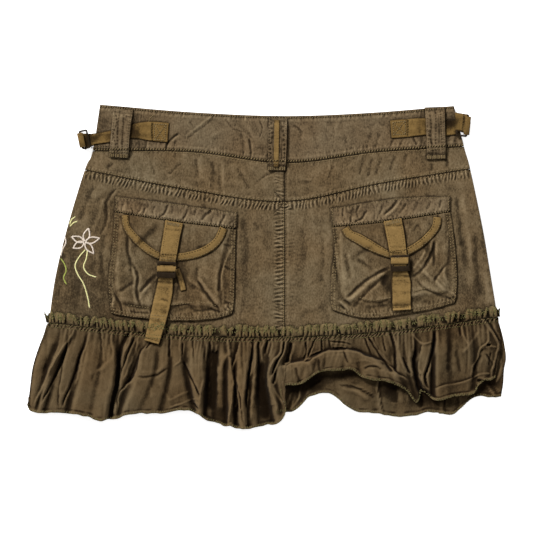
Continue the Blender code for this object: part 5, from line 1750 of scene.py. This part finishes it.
def frill_sheet(line):
    """The frill: a strip over the seam whose free edge waves up and down in tight, leaning curls."""
    line = through(line, FRILL_STEP)
    ends = [line[0] - (line[2] - line[0]) * FRILL_PAST / FRILL_STEP / 2]
    ends.append(line[-1] + (line[-1] - line[-3]) * FRILL_PAST / FRILL_STEP / 2)
    line = through(np.concatenate([ends[:1], line, ends[1:]]), FRILL_STEP)
    run = run_of(line)
    free = np.linspace(1, 0, FRILL_ROWS)[:, None]
    lean = FRILL_LEAN * np.clip(1.8 * ripple(run, 19 * MM, 5), -1, 1)[None, :]
    wave = frill_phase(run)[None, :]
    phase = wave + lean * (free - 0.2)
    scallop = 0.2 * np.cos(wave + lean * 0.8) - 0.04
    tall = FRILL_HEIGHT * (1 + scallop + 0.2 * ripple(run, 5 * MM, 1)[None, :])
    loose = (0.85 + 0.6 * ripple(run, 9 * MM, 3))[None, :]
    splay = FRILL_SPLAY * free**1.5 * np.sin(0.5 * wave + 2.0 * ripple(run, 12 * MM, 6)[None, :])
    x = line[None, :, 0] + FRILL_CURL * loose * free * np.sin(phase) + splay
    y = line[None, :, 1] + tall * free
    sheet = Sheet(x, y, np.zeros_like(x), FRILL_STEP)
    seat(sheet, TAPE_WALL, 3)
    low = soften(sheet.z, 3.0, 1.0)
    swing = 0.75 + 0.75 * np.cos(phase)
    sheet.z = np.maximum(low, sheet.z) + 0.2 * MM
    sheet.z = sheet.z + FRILL_SWING * loose * swing * free**0.5 - 0.7 * MM * bell(1 - free, 0.12)
    # Painted shade in the gaps between curls and low by the seam; painted highlight on the lit side of each
    # curl and along the free edge
    gap = ease((0.35 - np.cos(phase)) / 1.1) * ease(free * 3)
    gap = gap * (0.8 + 0.7 * ripple(run, 7 * MM, 8)[None, :])
    lit = bell(np.mod(phase + 0.9, 2 * math.pi) - math.pi * 1.6, 0.5)
    sheet.wear = sheet.wear + 0.9 * lit * free + 0.4 * bell(1 - free, 0.16) - 3.9 * gap
    sheet.wear = sheet.wear - 0.9 * bell(free - 0.06, 0.1) * ease(0.5 + 0.5 * np.cos(2 * wave))
    return sheet


# ------------------------------------------------------------------------------------- pockets

class SKIRT_OT_pockets(Operator):
    """Sews the two cargo pockets"""

    bl_idname = "skirt.sew_pockets"
    bl_label = "Sew the pockets"

    def execute(self, context):
        share = context.scene.skirt_cloth.crease_share
        for layer, side in enumerate(SIDES):
            bag, flap, panel = f"pocket_bag_{side}", f"pocket_flap_{side}", f"panel_back_{side}"
            sheet = laid_over(bag, POCKET_STEP, 1.1)
            round_off(sheet, 3.5)
            swell(sheet, 0.45, 15, layer + 2)
            swell(sheet, 0.25, 6, layer + 6)
            crumple(sheet, 0.28, 11, layer)
            crease(sheet, POCKET_CREASES, 1.25 * share)
            for edge in ("left", "right"):
                pucker(sheet, edge, 0.3, 5.0, 0.5, 5, 0.2, layer)
            pucker(sheet, "bottom", 0.4, 5.5, 0.5, 9, 0.4, layer + 3)
            seat(sheet, CLOTH_WALL)
            outfit(bag, sheet, CLOTH_WALL, "pocket", "pocket_twill", panel)
            header = f"pocket_header_{side}"
            sheet = laid_over(header, POCKET_STEP, 1.2)
            swell(sheet, 0.3, 11, layer + 1)
            crumple(sheet, 0.28, 7, layer + 3)
            crease(sheet, HEADER_CREASES, 0.95 * share)
            sheet.wear -= 0.12
            pucker(sheet, "bottom", 0.35, 4.4, 0.4, 5, 0.4, layer + 2)
            pucker(sheet, "top", 0.25, 4.8, 0.4, 4, 0.4, layer)
            roll_edge(sheet, "top", 0.6, 0.9)
            roll_edge(sheet, "bottom", 1.3, 0.9)
            outfit(header, sheet, CLOTH_WALL, "band", "pocket_twill", panel)
            sheet = laid_over(flap, POCKET_STEP, 1.0)
            swell(sheet, 0.4, 9, layer + 3)
            crumple(sheet, 0.28, 9, layer + 4)
            crease(sheet, POCKET_CREASES, share)
            seat(sheet, CLOTH_WALL)
            outfit(flap, sheet, CLOTH_WALL, "pocket", "pocket_twill", bag)
            binding = f"pocket_binding_{side}"
            sheet = laid_over(binding, STRAP_STEP, 1.0)
            pucker(sheet, "left", 0.3, 2.4, 0.2, 3.0, 0.5, layer)
            seat(sheet, TAPE_WALL)
            roll_edge(sheet, "left", 0.5, 0.8)
            roll_edge(sheet, "right", 0.4, 0.8)
            outfit(binding, sheet, TAPE_WALL, "tape", "binding_tape", flap)
            map_run(binding)
        return {"FINISHED"}


def map_run(name, length_across=False):
    """Maps a strap by how far each point is across it and along it, in metres."""
    runs = SHEETS[name].runs()
    across, along = (runs["top"], runs["left"]) if length_across else (runs["left"], runs["top"])
    map_over(name, "run", across, along)


# ------------------------------------------------------------------------------------- straps

STRAP_CREASES = [
    # Left flap strap and tail
    groove(0.4, 1.2, (163, 229), (184, 231)),
    groove(0.5, 1.0, (158, 254), (176, 255)),
    groove(0.7, 1.2, (156, 281.5), (175, 283)),
    ridge(0.5, 1.6, (156, 285), (175, 286)),
    groove(0.8, 1.2, (150, 297), (170, 300.5)),
    ridge(0.5, 1.6, (150, 301), (169, 304)),
    groove(0.3, 2.0, (146, 318), (163, 322)),
    groove(0.5, 0.9, (143, 336.5), (161, 340)),
    # Right flap strap and tail
    groove(0.4, 1.2, (383, 226), (403, 225)),
    groove(0.5, 1.0, (389, 247), (406, 247)),
    groove(0.7, 1.2, (389, 275.5), (411, 276)),
    ridge(0.4, 1.6, (390, 279), (411, 279)),
    groove(0.4, 2.0, (391, 291), (411, 293)),
    groove(0.5, 0.9, (391, 304.6), (411, 304.6)),
]

SIDE_STRAP_CREASES = [
    groove(0.5, 1.4, (153, 121), (152, 143)),
    groove(0.5, 1.5, (406, 118), (406, 138)),
    groove(0.4, 2.0, (418, 118), (419, 136)),
    ridge(0.5, 2.0, (137, 124), (134, 141)),
]

# Where webbing turns round a bar: its four corners, their heights in millimetres, its finish and its slot
TURNS = [
    ("side_turn_left", [(80.5, 133.4), (93, 134), (94, 145.6), (85, 150)], (6.3, 6.4, 6.4, 6.2),
     "side_strap", "side_webbing"),
    ("side_turn_right", [(453.8, 112.6), (466.2, 114.8), (463.6, 133.6), (454.6, 131)], (9.2, 9.6, 9.6, 9.2),
     "side_strap", "side_webbing"),
    ("slider_turn_left", [(157.4, 265.6), (176.2, 266.2), (175.6, 272), (157, 271.6)], (17, 17, 17, 17),
     "strap", "pocket_webbing"),
    ("slider_turn_right", [(389.8, 257.6), (407.2, 257.2), (407, 263.8), (389.6, 264.2)], (17, 17, 17, 17),
     "strap", "pocket_webbing"),
]


class SKIRT_OT_webbing(Operator):
    """Lays the webbing straps, tails and tapes"""

    bl_idname = "skirt.lay_webbing"
    bl_label = "Lay the webbing"

    def execute(self, context):
        for side in SIDES:
            self.strap(f"side_strap_{side}", f"waistband_back_{side}", "side_strap", "side_webbing", True)
        self.strap("pocket_strap_end_left", "pocket_bag_left")
        for side in SIDES:
            self.strap(f"pocket_strap_{side}", f"pocket_flap_{side}")
            self.strap(f"pocket_tail_{side}", f"pocket_bag_{side}")
        for name, places, heights_mm, finish, slot_name in TURNS:
            sheet = scrap(places, heights_mm, STRAP_STEP * 0.8)
            for edge in ("top", "bottom"):
                roll_edge(sheet, edge, 0.6, 1.1)
            sew(name, sheet, TAPE_WALL, CLOTH[finish], ())
            map_run(name)
        return {"FINISHED"}

    def strap(self, name, rests_on, finish="strap", slot_name="pocket_webbing", lying=False):
        """Lays a strap that runs down the sheet, or across it where it lies."""
        sheet = laid_over(name, STRAP_STEP, 1.5)
        swell(sheet, 0.25, 9, len(name))
        crease(sheet, SIDE_STRAP_CREASES if lying else STRAP_CREASES)
        seat(sheet, WEBBING_WALL)
        for edge in ("top", "bottom") if lying else ("left", "right"):
            roll_edge(sheet, edge, 0.35, 0.6)
            # Painted shade along each edge, and a paler strip just inside it with wear and painted highlight
            sheet.rub(edge, -0.5, 0.0, 0.7)
            sheet.rub(edge, 0.35, 1.8, 0.8)
        outfit(name, sheet, WEBBING_WALL, finish, slot_name, rests_on)
        map_run(name, lying)


LOOP_CREASES = [
    # Left loop
    groove(0.25, 0.8, (125, 116), (124, 125), (123, 140), (122, 156)),
    lap(0.5, 0.3, 1.5, (125, 116), (134.5, 117)),
    groove(0.5, 1.4, (113, 112), (134, 114.5)),
    groove(0.5, 1.2, (110, 153.5), (129, 158)),
    groove(0.2, 1.2, (119, 120), (117, 150)),
    # Centre loop
    groove(0.6, 0.9, (273, 118), (272.5, 140), (272.5, 168)),
    groove(0.6, 0.9, (281.3, 118), (281.2, 140), (281, 168)),
    groove(0.5, 1.2, (267, 121), (288, 121.5)),
    groove(0.5, 1.2, (267, 165), (287, 166)),
    # Right loop
    groove(0.7, 1.0, (437.5, 112), (438, 130), (438.5, 158)),
    groove(0.5, 1.2, (423, 110), (444, 110.5)),
    groove(0.5, 1.2, (425, 153.5), (447, 154)),
    groove(0.4, 1.2, (430, 118), (431, 150)),
]

# Rows of pits on each loop: their depth, their pitch and their path
LOOP_PITS = {
    "left": [
        (0.5, 4.2, [(115, 112), (117, 122), (113.5, 134), (115.5, 146), (113.5, 156)]),
        (0.5, 3.6, [(120, 112), (118, 124), (117.5, 140), (118, 157)]),
        (0.25, 2.4, [(123.8, 116), (122.6, 134), (121.6, 158)]),
        (0.6, 2.6, [(109, 156), (119, 157.5), (129, 159.5)]),
    ],
    "centre": [
        (1.0, 5.6, [(270.4, 118), (271.4, 134), (270.2, 150), (271, 169)]),
        (0.9, 4.9, [(284.0, 118), (282.9, 132), (283.8, 150), (282.8, 168)]),
        (0.5, 3.4, [(268.6, 122), (268.9, 142), (268.4, 166)]),
    ],
    "right": [
        (0.5, 4.4, [(428, 112), (430, 124), (429, 138), (432, 150), (431, 158)]),
        (0.5, 3.4, [(434, 110), (435, 126), (434.5, 140), (435, 158)]),
        (0.4, 2.8, [(439.4, 112), (440, 130), (441, 150)]),
        (0.6, 2.6, [(426.5, 155), (436, 155.5), (446, 155)]),
    ],
}


class SKIRT_OT_belt_loops(Operator):
    """Sews the belt loops over the straps"""

    bl_idname = "skirt.sew_belt_loops"
    bl_label = "Sew the belt loops"

    def execute(self, context):
        for layer, side in enumerate((*SIDES, "centre")):
            name = f"belt_loop_{side}"
            sheet = laid_over(name, LOOP_STEP, 1.5)
            swell(sheet, 0.3, 7, layer)
            crease(sheet, LOOP_CREASES)
            for depth, pitch, path in LOOP_PITS[side]:
                pit(sheet, depth, pitch, path)
            for edge in ("left", "right"):
                pucker(sheet, edge, 0.2, 4.2, 0.3, 4.0, 0.3, layer + 2)
                roll_edge(sheet, edge, 0.6, 0.9)
                sheet.rub(edge, 0.4, 1.1, 0.6)
            for edge in ("top", "bottom"):
                roll_edge(sheet, edge, 0.5, 1.0)
            seat(sheet, BAND_WALL)
            outfit(name, sheet, BAND_WALL, "band", "waistband_twill", "waistband_back_left")
        name = "belt_loop_tape"
        sheet = laid_over(name, STRAP_STEP * 0.8, 1.2)
        swell(sheet, 0.2, 5, 2)
        # Painted shade along each edge of the tape
        for edge in ("left", "right"):
            sheet.rub(edge, -0.5, 0.0, 0.7)
        seat(sheet, TAPE_WALL)
        outfit(name, sheet, TAPE_WALL, "tape", "side_webbing", "belt_loop_centre")
        map_run(name)
        return {"FINISHED"}


# ------------------------------------------------------------------------------------- metal

METAL_EDGE = 0.35 * MM
WEBBING_EDGE = 0.2 * MM
FLAT = math.radians(4)
SHARP = math.radians(50)


def finish_solid(node, material, edge, segments=2):
    """A copy of a solid with its edges rounded, which stands for it."""
    mesh = cad_mesh(node)
    bmesh.ops.dissolve_limit(mesh, angle_limit=FLAT, verts=mesh.verts, edges=mesh.edges)
    sharp = [e for e in mesh.edges if len(e.link_faces) == 2 and e.calc_face_angle(0) > SHARP]
    bmesh.ops.bevel(
        mesh, geom=sharp, offset=edge, offset_type="OFFSET", segments=segments, profile=0.5,
        affect="EDGES", material=-1, clamp_overlap=True,
    )
    bmesh.ops.triangulate(mesh, faces=mesh.faces)
    name = node + "_finish"
    return link(name, mesh_from(mesh, name), material, (node,))


class SKIRT_OT_metal(Operator):
    """Finishes the sliders and rings, and the webbing round the rings"""

    bl_idname = "skirt.finish_metal"
    bl_label = "Finish the metal"

    def execute(self, context):
        for side in SIDES:
            for node in (f"pocket_slider_{side}", f"side_slider_{side}"):
                finish_solid(node, CLOTH["metal"], METAL_EDGE)
            node = f"side_keeper_{side}"
            piece = finish_solid(node, CLOTH["side_strap"], WEBBING_EDGE, 1)
            low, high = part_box(node)
            middle = (low + high) / 2
            run = piece.data.uv_layers.new(name="run")
            for loop in piece.data.loops:
                point = piece.data.vertices[loop.vertex_index].co - middle
                run.data[loop.index].uv = (point.y, point.x + point.z)
        return {"FINISHED"}


# ------------------------------------------------------------------------------------- sewing


# Rows of topstitching on each side: the piece, the edge, and how far in
EDGE_ROWS = [
    ("yoke_back", "top", 1.3), ("yoke_back", "bottom", 1.4), ("panel_back", "top", 1.8),
    ("pocket_header", "top", 1.5), ("pocket_header", "left", 2.0), ("pocket_header", "right", 2.0),
    ("pocket_bag", "left", 1.4), ("pocket_bag", "left", 4.6), ("pocket_bag", "right", 1.4),
    ("pocket_bag", "right", 4.6), ("pocket_bag", "bottom", 1.6), ("pocket_bag", "bottom", 5.0),
    ("pocket_binding", "right", 1.5), ("pocket_binding", "left", 1.6),
]
DARK_EDGE = ("pocket_binding", "right")
CROSSED_BOXES = [
    [(154, 124.5), (166, 125), (164.5, 140.5), (154.5, 140)],
    [(392, 123), (404.5, 121.5), (404.5, 134.5), (393, 135)],
]
STITCH_ROWS = [
    [(128, 305), (148, 307.6)], [(171, 304.8), (206, 302.8), (216, 306)],
    [(359, 297.6), (372, 300), (390, 297.4)], [(412, 291), (430, 288.2), (444, 293)],
]
# Thick dark tacks, and thread ends that hang loose
DARK_ROWS = [
    [(151.8, 123), (151.4, 132), (152.2, 142.5)], [(407, 120), (406.8, 128), (406.6, 137)],
    [(90.5, 145.8), (99, 146.2), (108.6, 146.8)], [(90.5, 147.8), (99, 148.2), (108.6, 149)],
    [(462.6, 116.5), (461.9, 124), (461, 131)],
]
LOOSE_ENDS = [
    [(148.6, 122), (149.6, 119), (153, 115.6)], [(86, 248), (84.6, 249.6), (83.4, 250.4)],
]


class SKIRT_OT_stitching(Operator):
    """Sews the topstitching, bar tacks and crossed boxes"""

    bl_idname = "skirt.topstitch"
    bl_label = "Topstitch"

    def execute(self, context):
        sizes = context.scene.skirt_thread
        pitch, length, width = (
            size / MM for size in (sizes.stitch_pitch, sizes.stitch_length, sizes.stitch_width)
        )
        tan, dark = Thread(), Thread()
        for side in SIDES:
            for i, (family, edge, inset) in enumerate(EDGE_ROWS):
                thread = dark if (family, edge) == DARK_EDGE else tan
                thread.along(
                    f"{family}_{side}", edge, inset, 0.01, pitch, length, width, i, slant=0.12, wander=0.15
                )
            name = f"waistband_back_{side}"
            for thread, shift in ((tan, 0.0), (dark, 0.5)):
                thread.along(
                    name, "bottom", 1.5, 0.004, 3.0, 2.7, 1.0, 41, slant=1.05, jitter=0.06, shift=shift
                )
                thread.along(
                    name, "top", 2.2, 0.004, 2.7, 1.9, 0.8, 42, slant=0.8, jitter=0.1, shift=shift
                )
        name = "panel_back_left"
        dark.along(name, "right", 6.5, 0.02, 4.6, 7.0, 0.6, 31, slant=1.55, wander=0.8, jitter=0.3)
        tan.along(name, "right", 0.9, 0.0, 2.2, 2.2, 0.9, 32, jitter=0.05)
        for side in SIDES:
            name = f"pocket_header_{side}"
            for edge, inset in (("bottom", 2.2), ("top", 1.0), ("left", 1.2), ("right", 1.2)):
                dark.along(name, edge, inset, 0.01, pitch, 1.4, 0.9, 33, wander=0.15)
            tan.along(name, "bottom", 0.3, 0.01, 2.7, 1.9, 1.1, 35, slant=1.35, wander=0.2)
        for name in ("belt_loop_left", "belt_loop_centre", "belt_loop_right"):
            for edge in ("left", "right"):
                dark.along(
                    name, edge, 2.0, 0.04, 0.8 * pitch, 0.7 * length, 0.8 * width, 7, slant=0.3, wander=0.25
                )
            for inset in (1.5, 2.6, 3.7):
                tan.along(name, "bottom", inset, 0.06, 0.6 * pitch, length, 1.0, 9, slant=1.1, jitter=0.3)
        for side in SIDES:
            for edge in ("left", "right"):
                dark.along(f"pocket_strap_{side}", edge, 2.3, 0.03, 2.4, 1.2, 0.6, 11, wander=0.1)
        for side in SIDES:
            strap, tail = f"pocket_strap_{side}", f"pocket_tail_{side}"
            for inset in (2.0, 3.0, 4.0):
                tan.along(strap, "top", inset, 0.1, 0.5 * pitch, 0.8 * length, width, 13, slant=1.1)
            for name, inset in ((strap, 8.0), (tail, 3.0)):
                dark.along(name, "bottom", inset, 0.06, 0.75 * pitch, 0.8 * length, width, 17)
        for box in CROSSED_BOXES:
            a, b, c, d = drafted(box)
            for start, end in ((a, b), (b, c), (c, d), (d, a), (a, c), (b, d)):
                line = spaced(np.array([start, end]), 12)
                tan.row(line, 2.4, 1.9, 0.9, 19)
                dark.row(line, 2.4, 0.6, 0.6, 19, shift=0.5)
        for row in STITCH_ROWS:
            tan.row(on_squares(*row), pitch, length, width, 23, slant=0.15, wander=0.15)
        for row in DARK_ROWS:
            dark.row(on_squares(*row), 1.7, 2.4, 0.9, 24, slant=1.2, wander=0.2)
        for row in LOOSE_ENDS:
            tan.row(on_squares(*row), 1.2, 2.0, 0.8, 25)
        tan.finish("topstitching", CLOTH["sewing"], "body_twill")
        dark.finish("dark_stitching", CLOTH["dark_sewing"], "body_twill")
        return {"FINISHED"}


class SKIRT_OT_overlock(Operator):
    """Overlocks the frill and the hems"""

    bl_idname = "skirt.overlock_edges"
    bl_label = "Overlock the edges"

    def execute(self, context):
        green = Thread()
        frill = SHEETS["ruffle_heading"]
        for rows, slant in ((2, 1.0), (5, -1.2)):
            line = np.stack([frill.x[rows], frill.y[rows]], axis=1)
            green.row(line, 3.6, 3.4, 0.85, rows, slant=slant, wander=0.7, jitter=0.4)
        line = np.stack([frill.x[0], frill.y[0]], axis=1)
        green.row(line, 2.3, 1.7, 0.7, 4, slant=0.5, wander=0.3, jitter=0.35)
        green.finish("overlocking", CLOTH["overlock"], "overlocked_heading")
        edging = Thread()
        for name, skip in (("ruffle_back", 0.0), ("ruffle_front", 0.5)):
            sheet = SHEETS[name]
            edging.row(sheet.inset("bottom", 1.5, skip), 2.4, 3.2, 0.95, 5, slant=1.25, jitter=0.35)
            edging.row(sheet.inset("bottom", 0.3, skip), 2.4, 1.8, 0.8, 6, jitter=0.3)
        edging.finish("hem_overlocking", CLOTH["hem_thread"], "flounce_twill")
        gathers = Thread()
        for inset in (1.2, 4.8):
            gathers.along("ruffle_back", "top", inset, 0.0, 2.6, 1.9, 0.6, 8, slant=0.2, wander=0.2)
        gathers.finish("gathering_stitches", CLOTH["overlock"], "flounce_twill")
        return {"FINISHED"}


# ------------------------------------------------------------------------------------- wear and painted shading

# What lies on what: the upper piece, the pieces under it, how dark the painted shadow round its outline is
# on them, and how wide.  A star stands for left and right.
CAST_SHADOWS = [
    ("pocket_bag_*", ("panel_back_*",), 1.3, 1.2),
    ("pocket_header_*", ("panel_back_*",), 1.4, 0.9),
    ("pocket_header_*", ("pocket_bag_*", "pocket_flap_*"), 0.3, 0.8),
    ("pocket_binding_*", ("pocket_bag_*", "pocket_flap_*"), 1.5, 1.1),
    ("pocket_strap_end_left", ("pocket_bag_left",), 1.5, 1.0),
    ("pocket_strap_*", ("pocket_bag_*", "pocket_flap_*", "pocket_header_*", "pocket_binding_*"), 1.9, 1.3),
    ("pocket_tail_*", ("pocket_bag_*", "panel_back_*", "ruffle_heading", "ruffle_back"), 1.9, 1.4),
    ("side_strap_*", ("waistband_back_*",), 1.7, 1.0),
    ("belt_loop_left", ("waistband_back_left", "yoke_back_left", "side_strap_left"), 1.3, 1.0),
    ("belt_loop_right", ("waistband_back_right", "yoke_back_right", "side_strap_right"), 1.3, 1.0),
    (
        "belt_loop_centre",
        ("waistband_back_left", "waistband_back_right", "yoke_back_left", "yoke_back_right"), 1.5, 1.0,
    ),
    ("belt_loop_tape", ("belt_loop_centre",), 1.0, 0.8),
    ("ruffle_heading", ("panel_back_left", "panel_back_right"), 1.1, 1.4),
]
# Where wear and painted shading end either way: the palest highlight and the darkest shade
PALEST = 1.1
DARKEST = -3.4


class SKIRT_OT_wear_and_shading(Operator):
    """Paints the cloth pale where it stands up, with wear and painted highlight, and paints shade where it
    lies in and round what lies on it
    """

    bl_idname = "skirt.wear_down"
    bl_label = "Wear the cloth"

    def execute(self, context):
        for sheet in SHEETS.values():
            sheet.wear_down()
        for upper, under, amount, width in CAST_SHADOWS:
            for side in SIDES if "*" in upper else ("",):
                others = [name.replace("*", side) for name in under]
                paint_shadow_round(upper.replace("*", side), others, amount, width)
        for name, sheet in SHEETS.items():
            for family, shades in SHADES.items():
                if name.startswith(family):
                    shade(sheet, shades)
            dark = DARKEST * (1 - np.exp(np.minimum(sheet.wear, 0.0) / -DARKEST))
            paint(name, "wear", np.where(sheet.wear < 0, dark, np.minimum(sheet.wear, PALEST)))
        return {"FINISHED"}


# ------------------------------------------------------------------------------------- embroidery

FLOWER_CENTRE = (84.5, 242)
# Each petal: the way it points, in degrees from the right and turning left, its length and its width
PETALS = [(74, 13.5, 6.2), (14, 14.5, 6.0), (-52, 14.0, 6.0), (-152, 12.5, 6.4), (158, 13.5, 5.8)]
SIDE_PETAL = [(65, 237), (65.5, 243), (62.5, 249), (60.5, 256)]
# Two stems and two small buds
STEMS = [
    [(85, 250), (79, 257), (75, 266), (77.5, 274), (83, 283), (87, 295), (89.5, 308)],
    [(87.5, 250), (86, 259), (83.5, 267), (88, 274), (95.5, 277)],
    [(69.5, 224), (72, 219), (75, 217)], [(70, 226), (74, 222.5), (77, 221.5)],
]
LEAF_STEM = [(61, 259), (65, 265.5), (66, 271), (63.5, 277.5), (66, 284)]


def petal(turn, length, width):
    """The outline of a pointed petal, in plan."""
    share = np.linspace(0, 1, 24)
    bulge = np.sin(math.pi * share**0.8) * width / 2 * SQUARE
    reach = (0.08 + 0.96 * share) * length * SQUARE
    outline = np.concatenate([np.stack([reach, bulge], 1), np.stack([reach, -bulge], 1)[::-1]])
    angle = math.radians(turn)
    spin = np.array([[math.cos(angle), math.sin(angle)], [-math.sin(angle), math.cos(angle)]])
    return np.array(plan(*FLOWER_CENTRE)) + outline @ spin


class SKIRT_OT_embroidery(Operator):
    """Embroiders a plain flower by the left side"""

    bl_idname = "skirt.embroider"
    bl_label = "Embroider"

    def execute(self, context):
        white, yellow, green = Thread(), Thread(), Thread()
        for shape in PETALS:
            white.row(petal(*shape), 0.95, 2.9, 1.0, 2, slant=0.7)
        white.row(on_squares(*SIDE_PETAL), 0.95, 2.9, 1.0, 3, slant=0.7)
        for line in STEMS:
            yellow.row(on_squares(*line), 0.95, 2.7, 0.95, 4, slant=0.6)
        green.row(on_squares(*LEAF_STEM), 0.95, 2.9, 1.0, 5, slant=0.6)
        white.finish("embroidered_petals", CLOTH["petal"], "body_twill")
        yellow.finish("embroidered_stems", CLOTH["stem"], "body_twill")
        green.finish("embroidered_leaf_stem", CLOTH["leaf"], "body_twill")
        return {"FINISHED"}


# ------------------------------------------------------------------------------------- stage

SENSOR = 36.0
KEY_FROM = (-0.62, 0.86, 0.88)
KEY_SPREAD = math.radians(14)


class SKIRT_OT_stage(Operator):
    """Sets the floor, the light and the camera"""

    bl_idname = "skirt.set_stage"
    bl_label = "Set the stage"

    def execute(self, context):
        stage, scene = context.scene.skirt_stage, context.scene
        ground = bmesh.new()
        bmesh.ops.create_grid(ground, x_segments=4, y_segments=4, size=4.0)
        mesh = mesh_from(ground, "floor")
        material, _, shader = new_material("pale_floor", 0.9, 0.0)
        set_inputs(shader, {
            "Base Color": (0.93, 0.93, 0.93, 1), "Emission Color": (1, 1, 1, 1), "Emission Strength": 0.7,
        })
        mesh.materials.append(material)
        floor = placed("floor", mesh)
        scene.world = bpy.data.worlds.new("sky")
        scene.world.use_nodes = True
        sky = scene.world.node_tree.nodes["Background"]
        set_inputs(sky, {"Color": (1, 1, 1, 1), "Strength": stage.sky_strength})
        lamp = bpy.data.lights.new("key", "SUN")
        lamp.energy = stage.key_strength
        lamp.angle = KEY_SPREAD
        key = placed("key", lamp)
        key.rotation_euler = Vector(KEY_FROM).to_track_quat("Z", "Y").to_euler()
        camera = bpy.data.cameras.new("camera")
        camera.sensor_width = SENSOR
        camera.lens = SENSOR * stage.camera_height / stage.view_width
        camera.clip_end = 20.0
        view = placed("camera", camera)
        view.location = (0, 0, stage.camera_height)
        scene.camera = view
        scene.view_settings.view_transform = "Standard"
        return {"FINISHED"}


# ------------------------------------------------------------------------------------- panel

STEPS = (
    SKIRT_OT_front, SKIRT_OT_body, SKIRT_OT_waistband, SKIRT_OT_flounce, SKIRT_OT_pockets,
    SKIRT_OT_webbing, SKIRT_OT_belt_loops, SKIRT_OT_wear_and_shading, SKIRT_OT_metal, SKIRT_OT_stitching,
    SKIRT_OT_overlock, SKIRT_OT_embroidery, SKIRT_OT_stage,
)
GROUPS = (("skirt_cloth", SkirtCloth), ("skirt_thread", SkirtThread), ("skirt_stage", SkirtStage))


class SKIRT_PT_steps(Panel):
    """Lists the sewing steps in order"""

    bl_idname = "SKIRT_PT_steps"
    bl_label = "Cargo utility skirt"
    bl_space_type = "VIEW_3D"
    bl_region_type = "UI"
    bl_category = "Skirt"

    def draw(self, context):
        for step in STEPS:
            self.layout.operator(step.bl_idname)


def register():
    for name, group in GROUPS:
        bpy.utils.register_class(group)
        setattr(bpy.types.Scene, name, PointerProperty(type=group))
    for step in STEPS:
        bpy.utils.register_class(step)
    bpy.utils.register_class(SKIRT_PT_steps)


def unregister():
    bpy.utils.unregister_class(SKIRT_PT_steps)
    for step in reversed(STEPS):
        bpy.utils.unregister_class(step)
    for name, group in reversed(GROUPS):
        delattr(bpy.types.Scene, name)
        bpy.utils.unregister_class(group)


def main():
    register()
    make_materials(bpy.context)
    for step in STEPS:
        family, name = step.bl_idname.split(".")
        getattr(getattr(bpy.ops, family), name)()


if __name__ == "__main__":
    main()
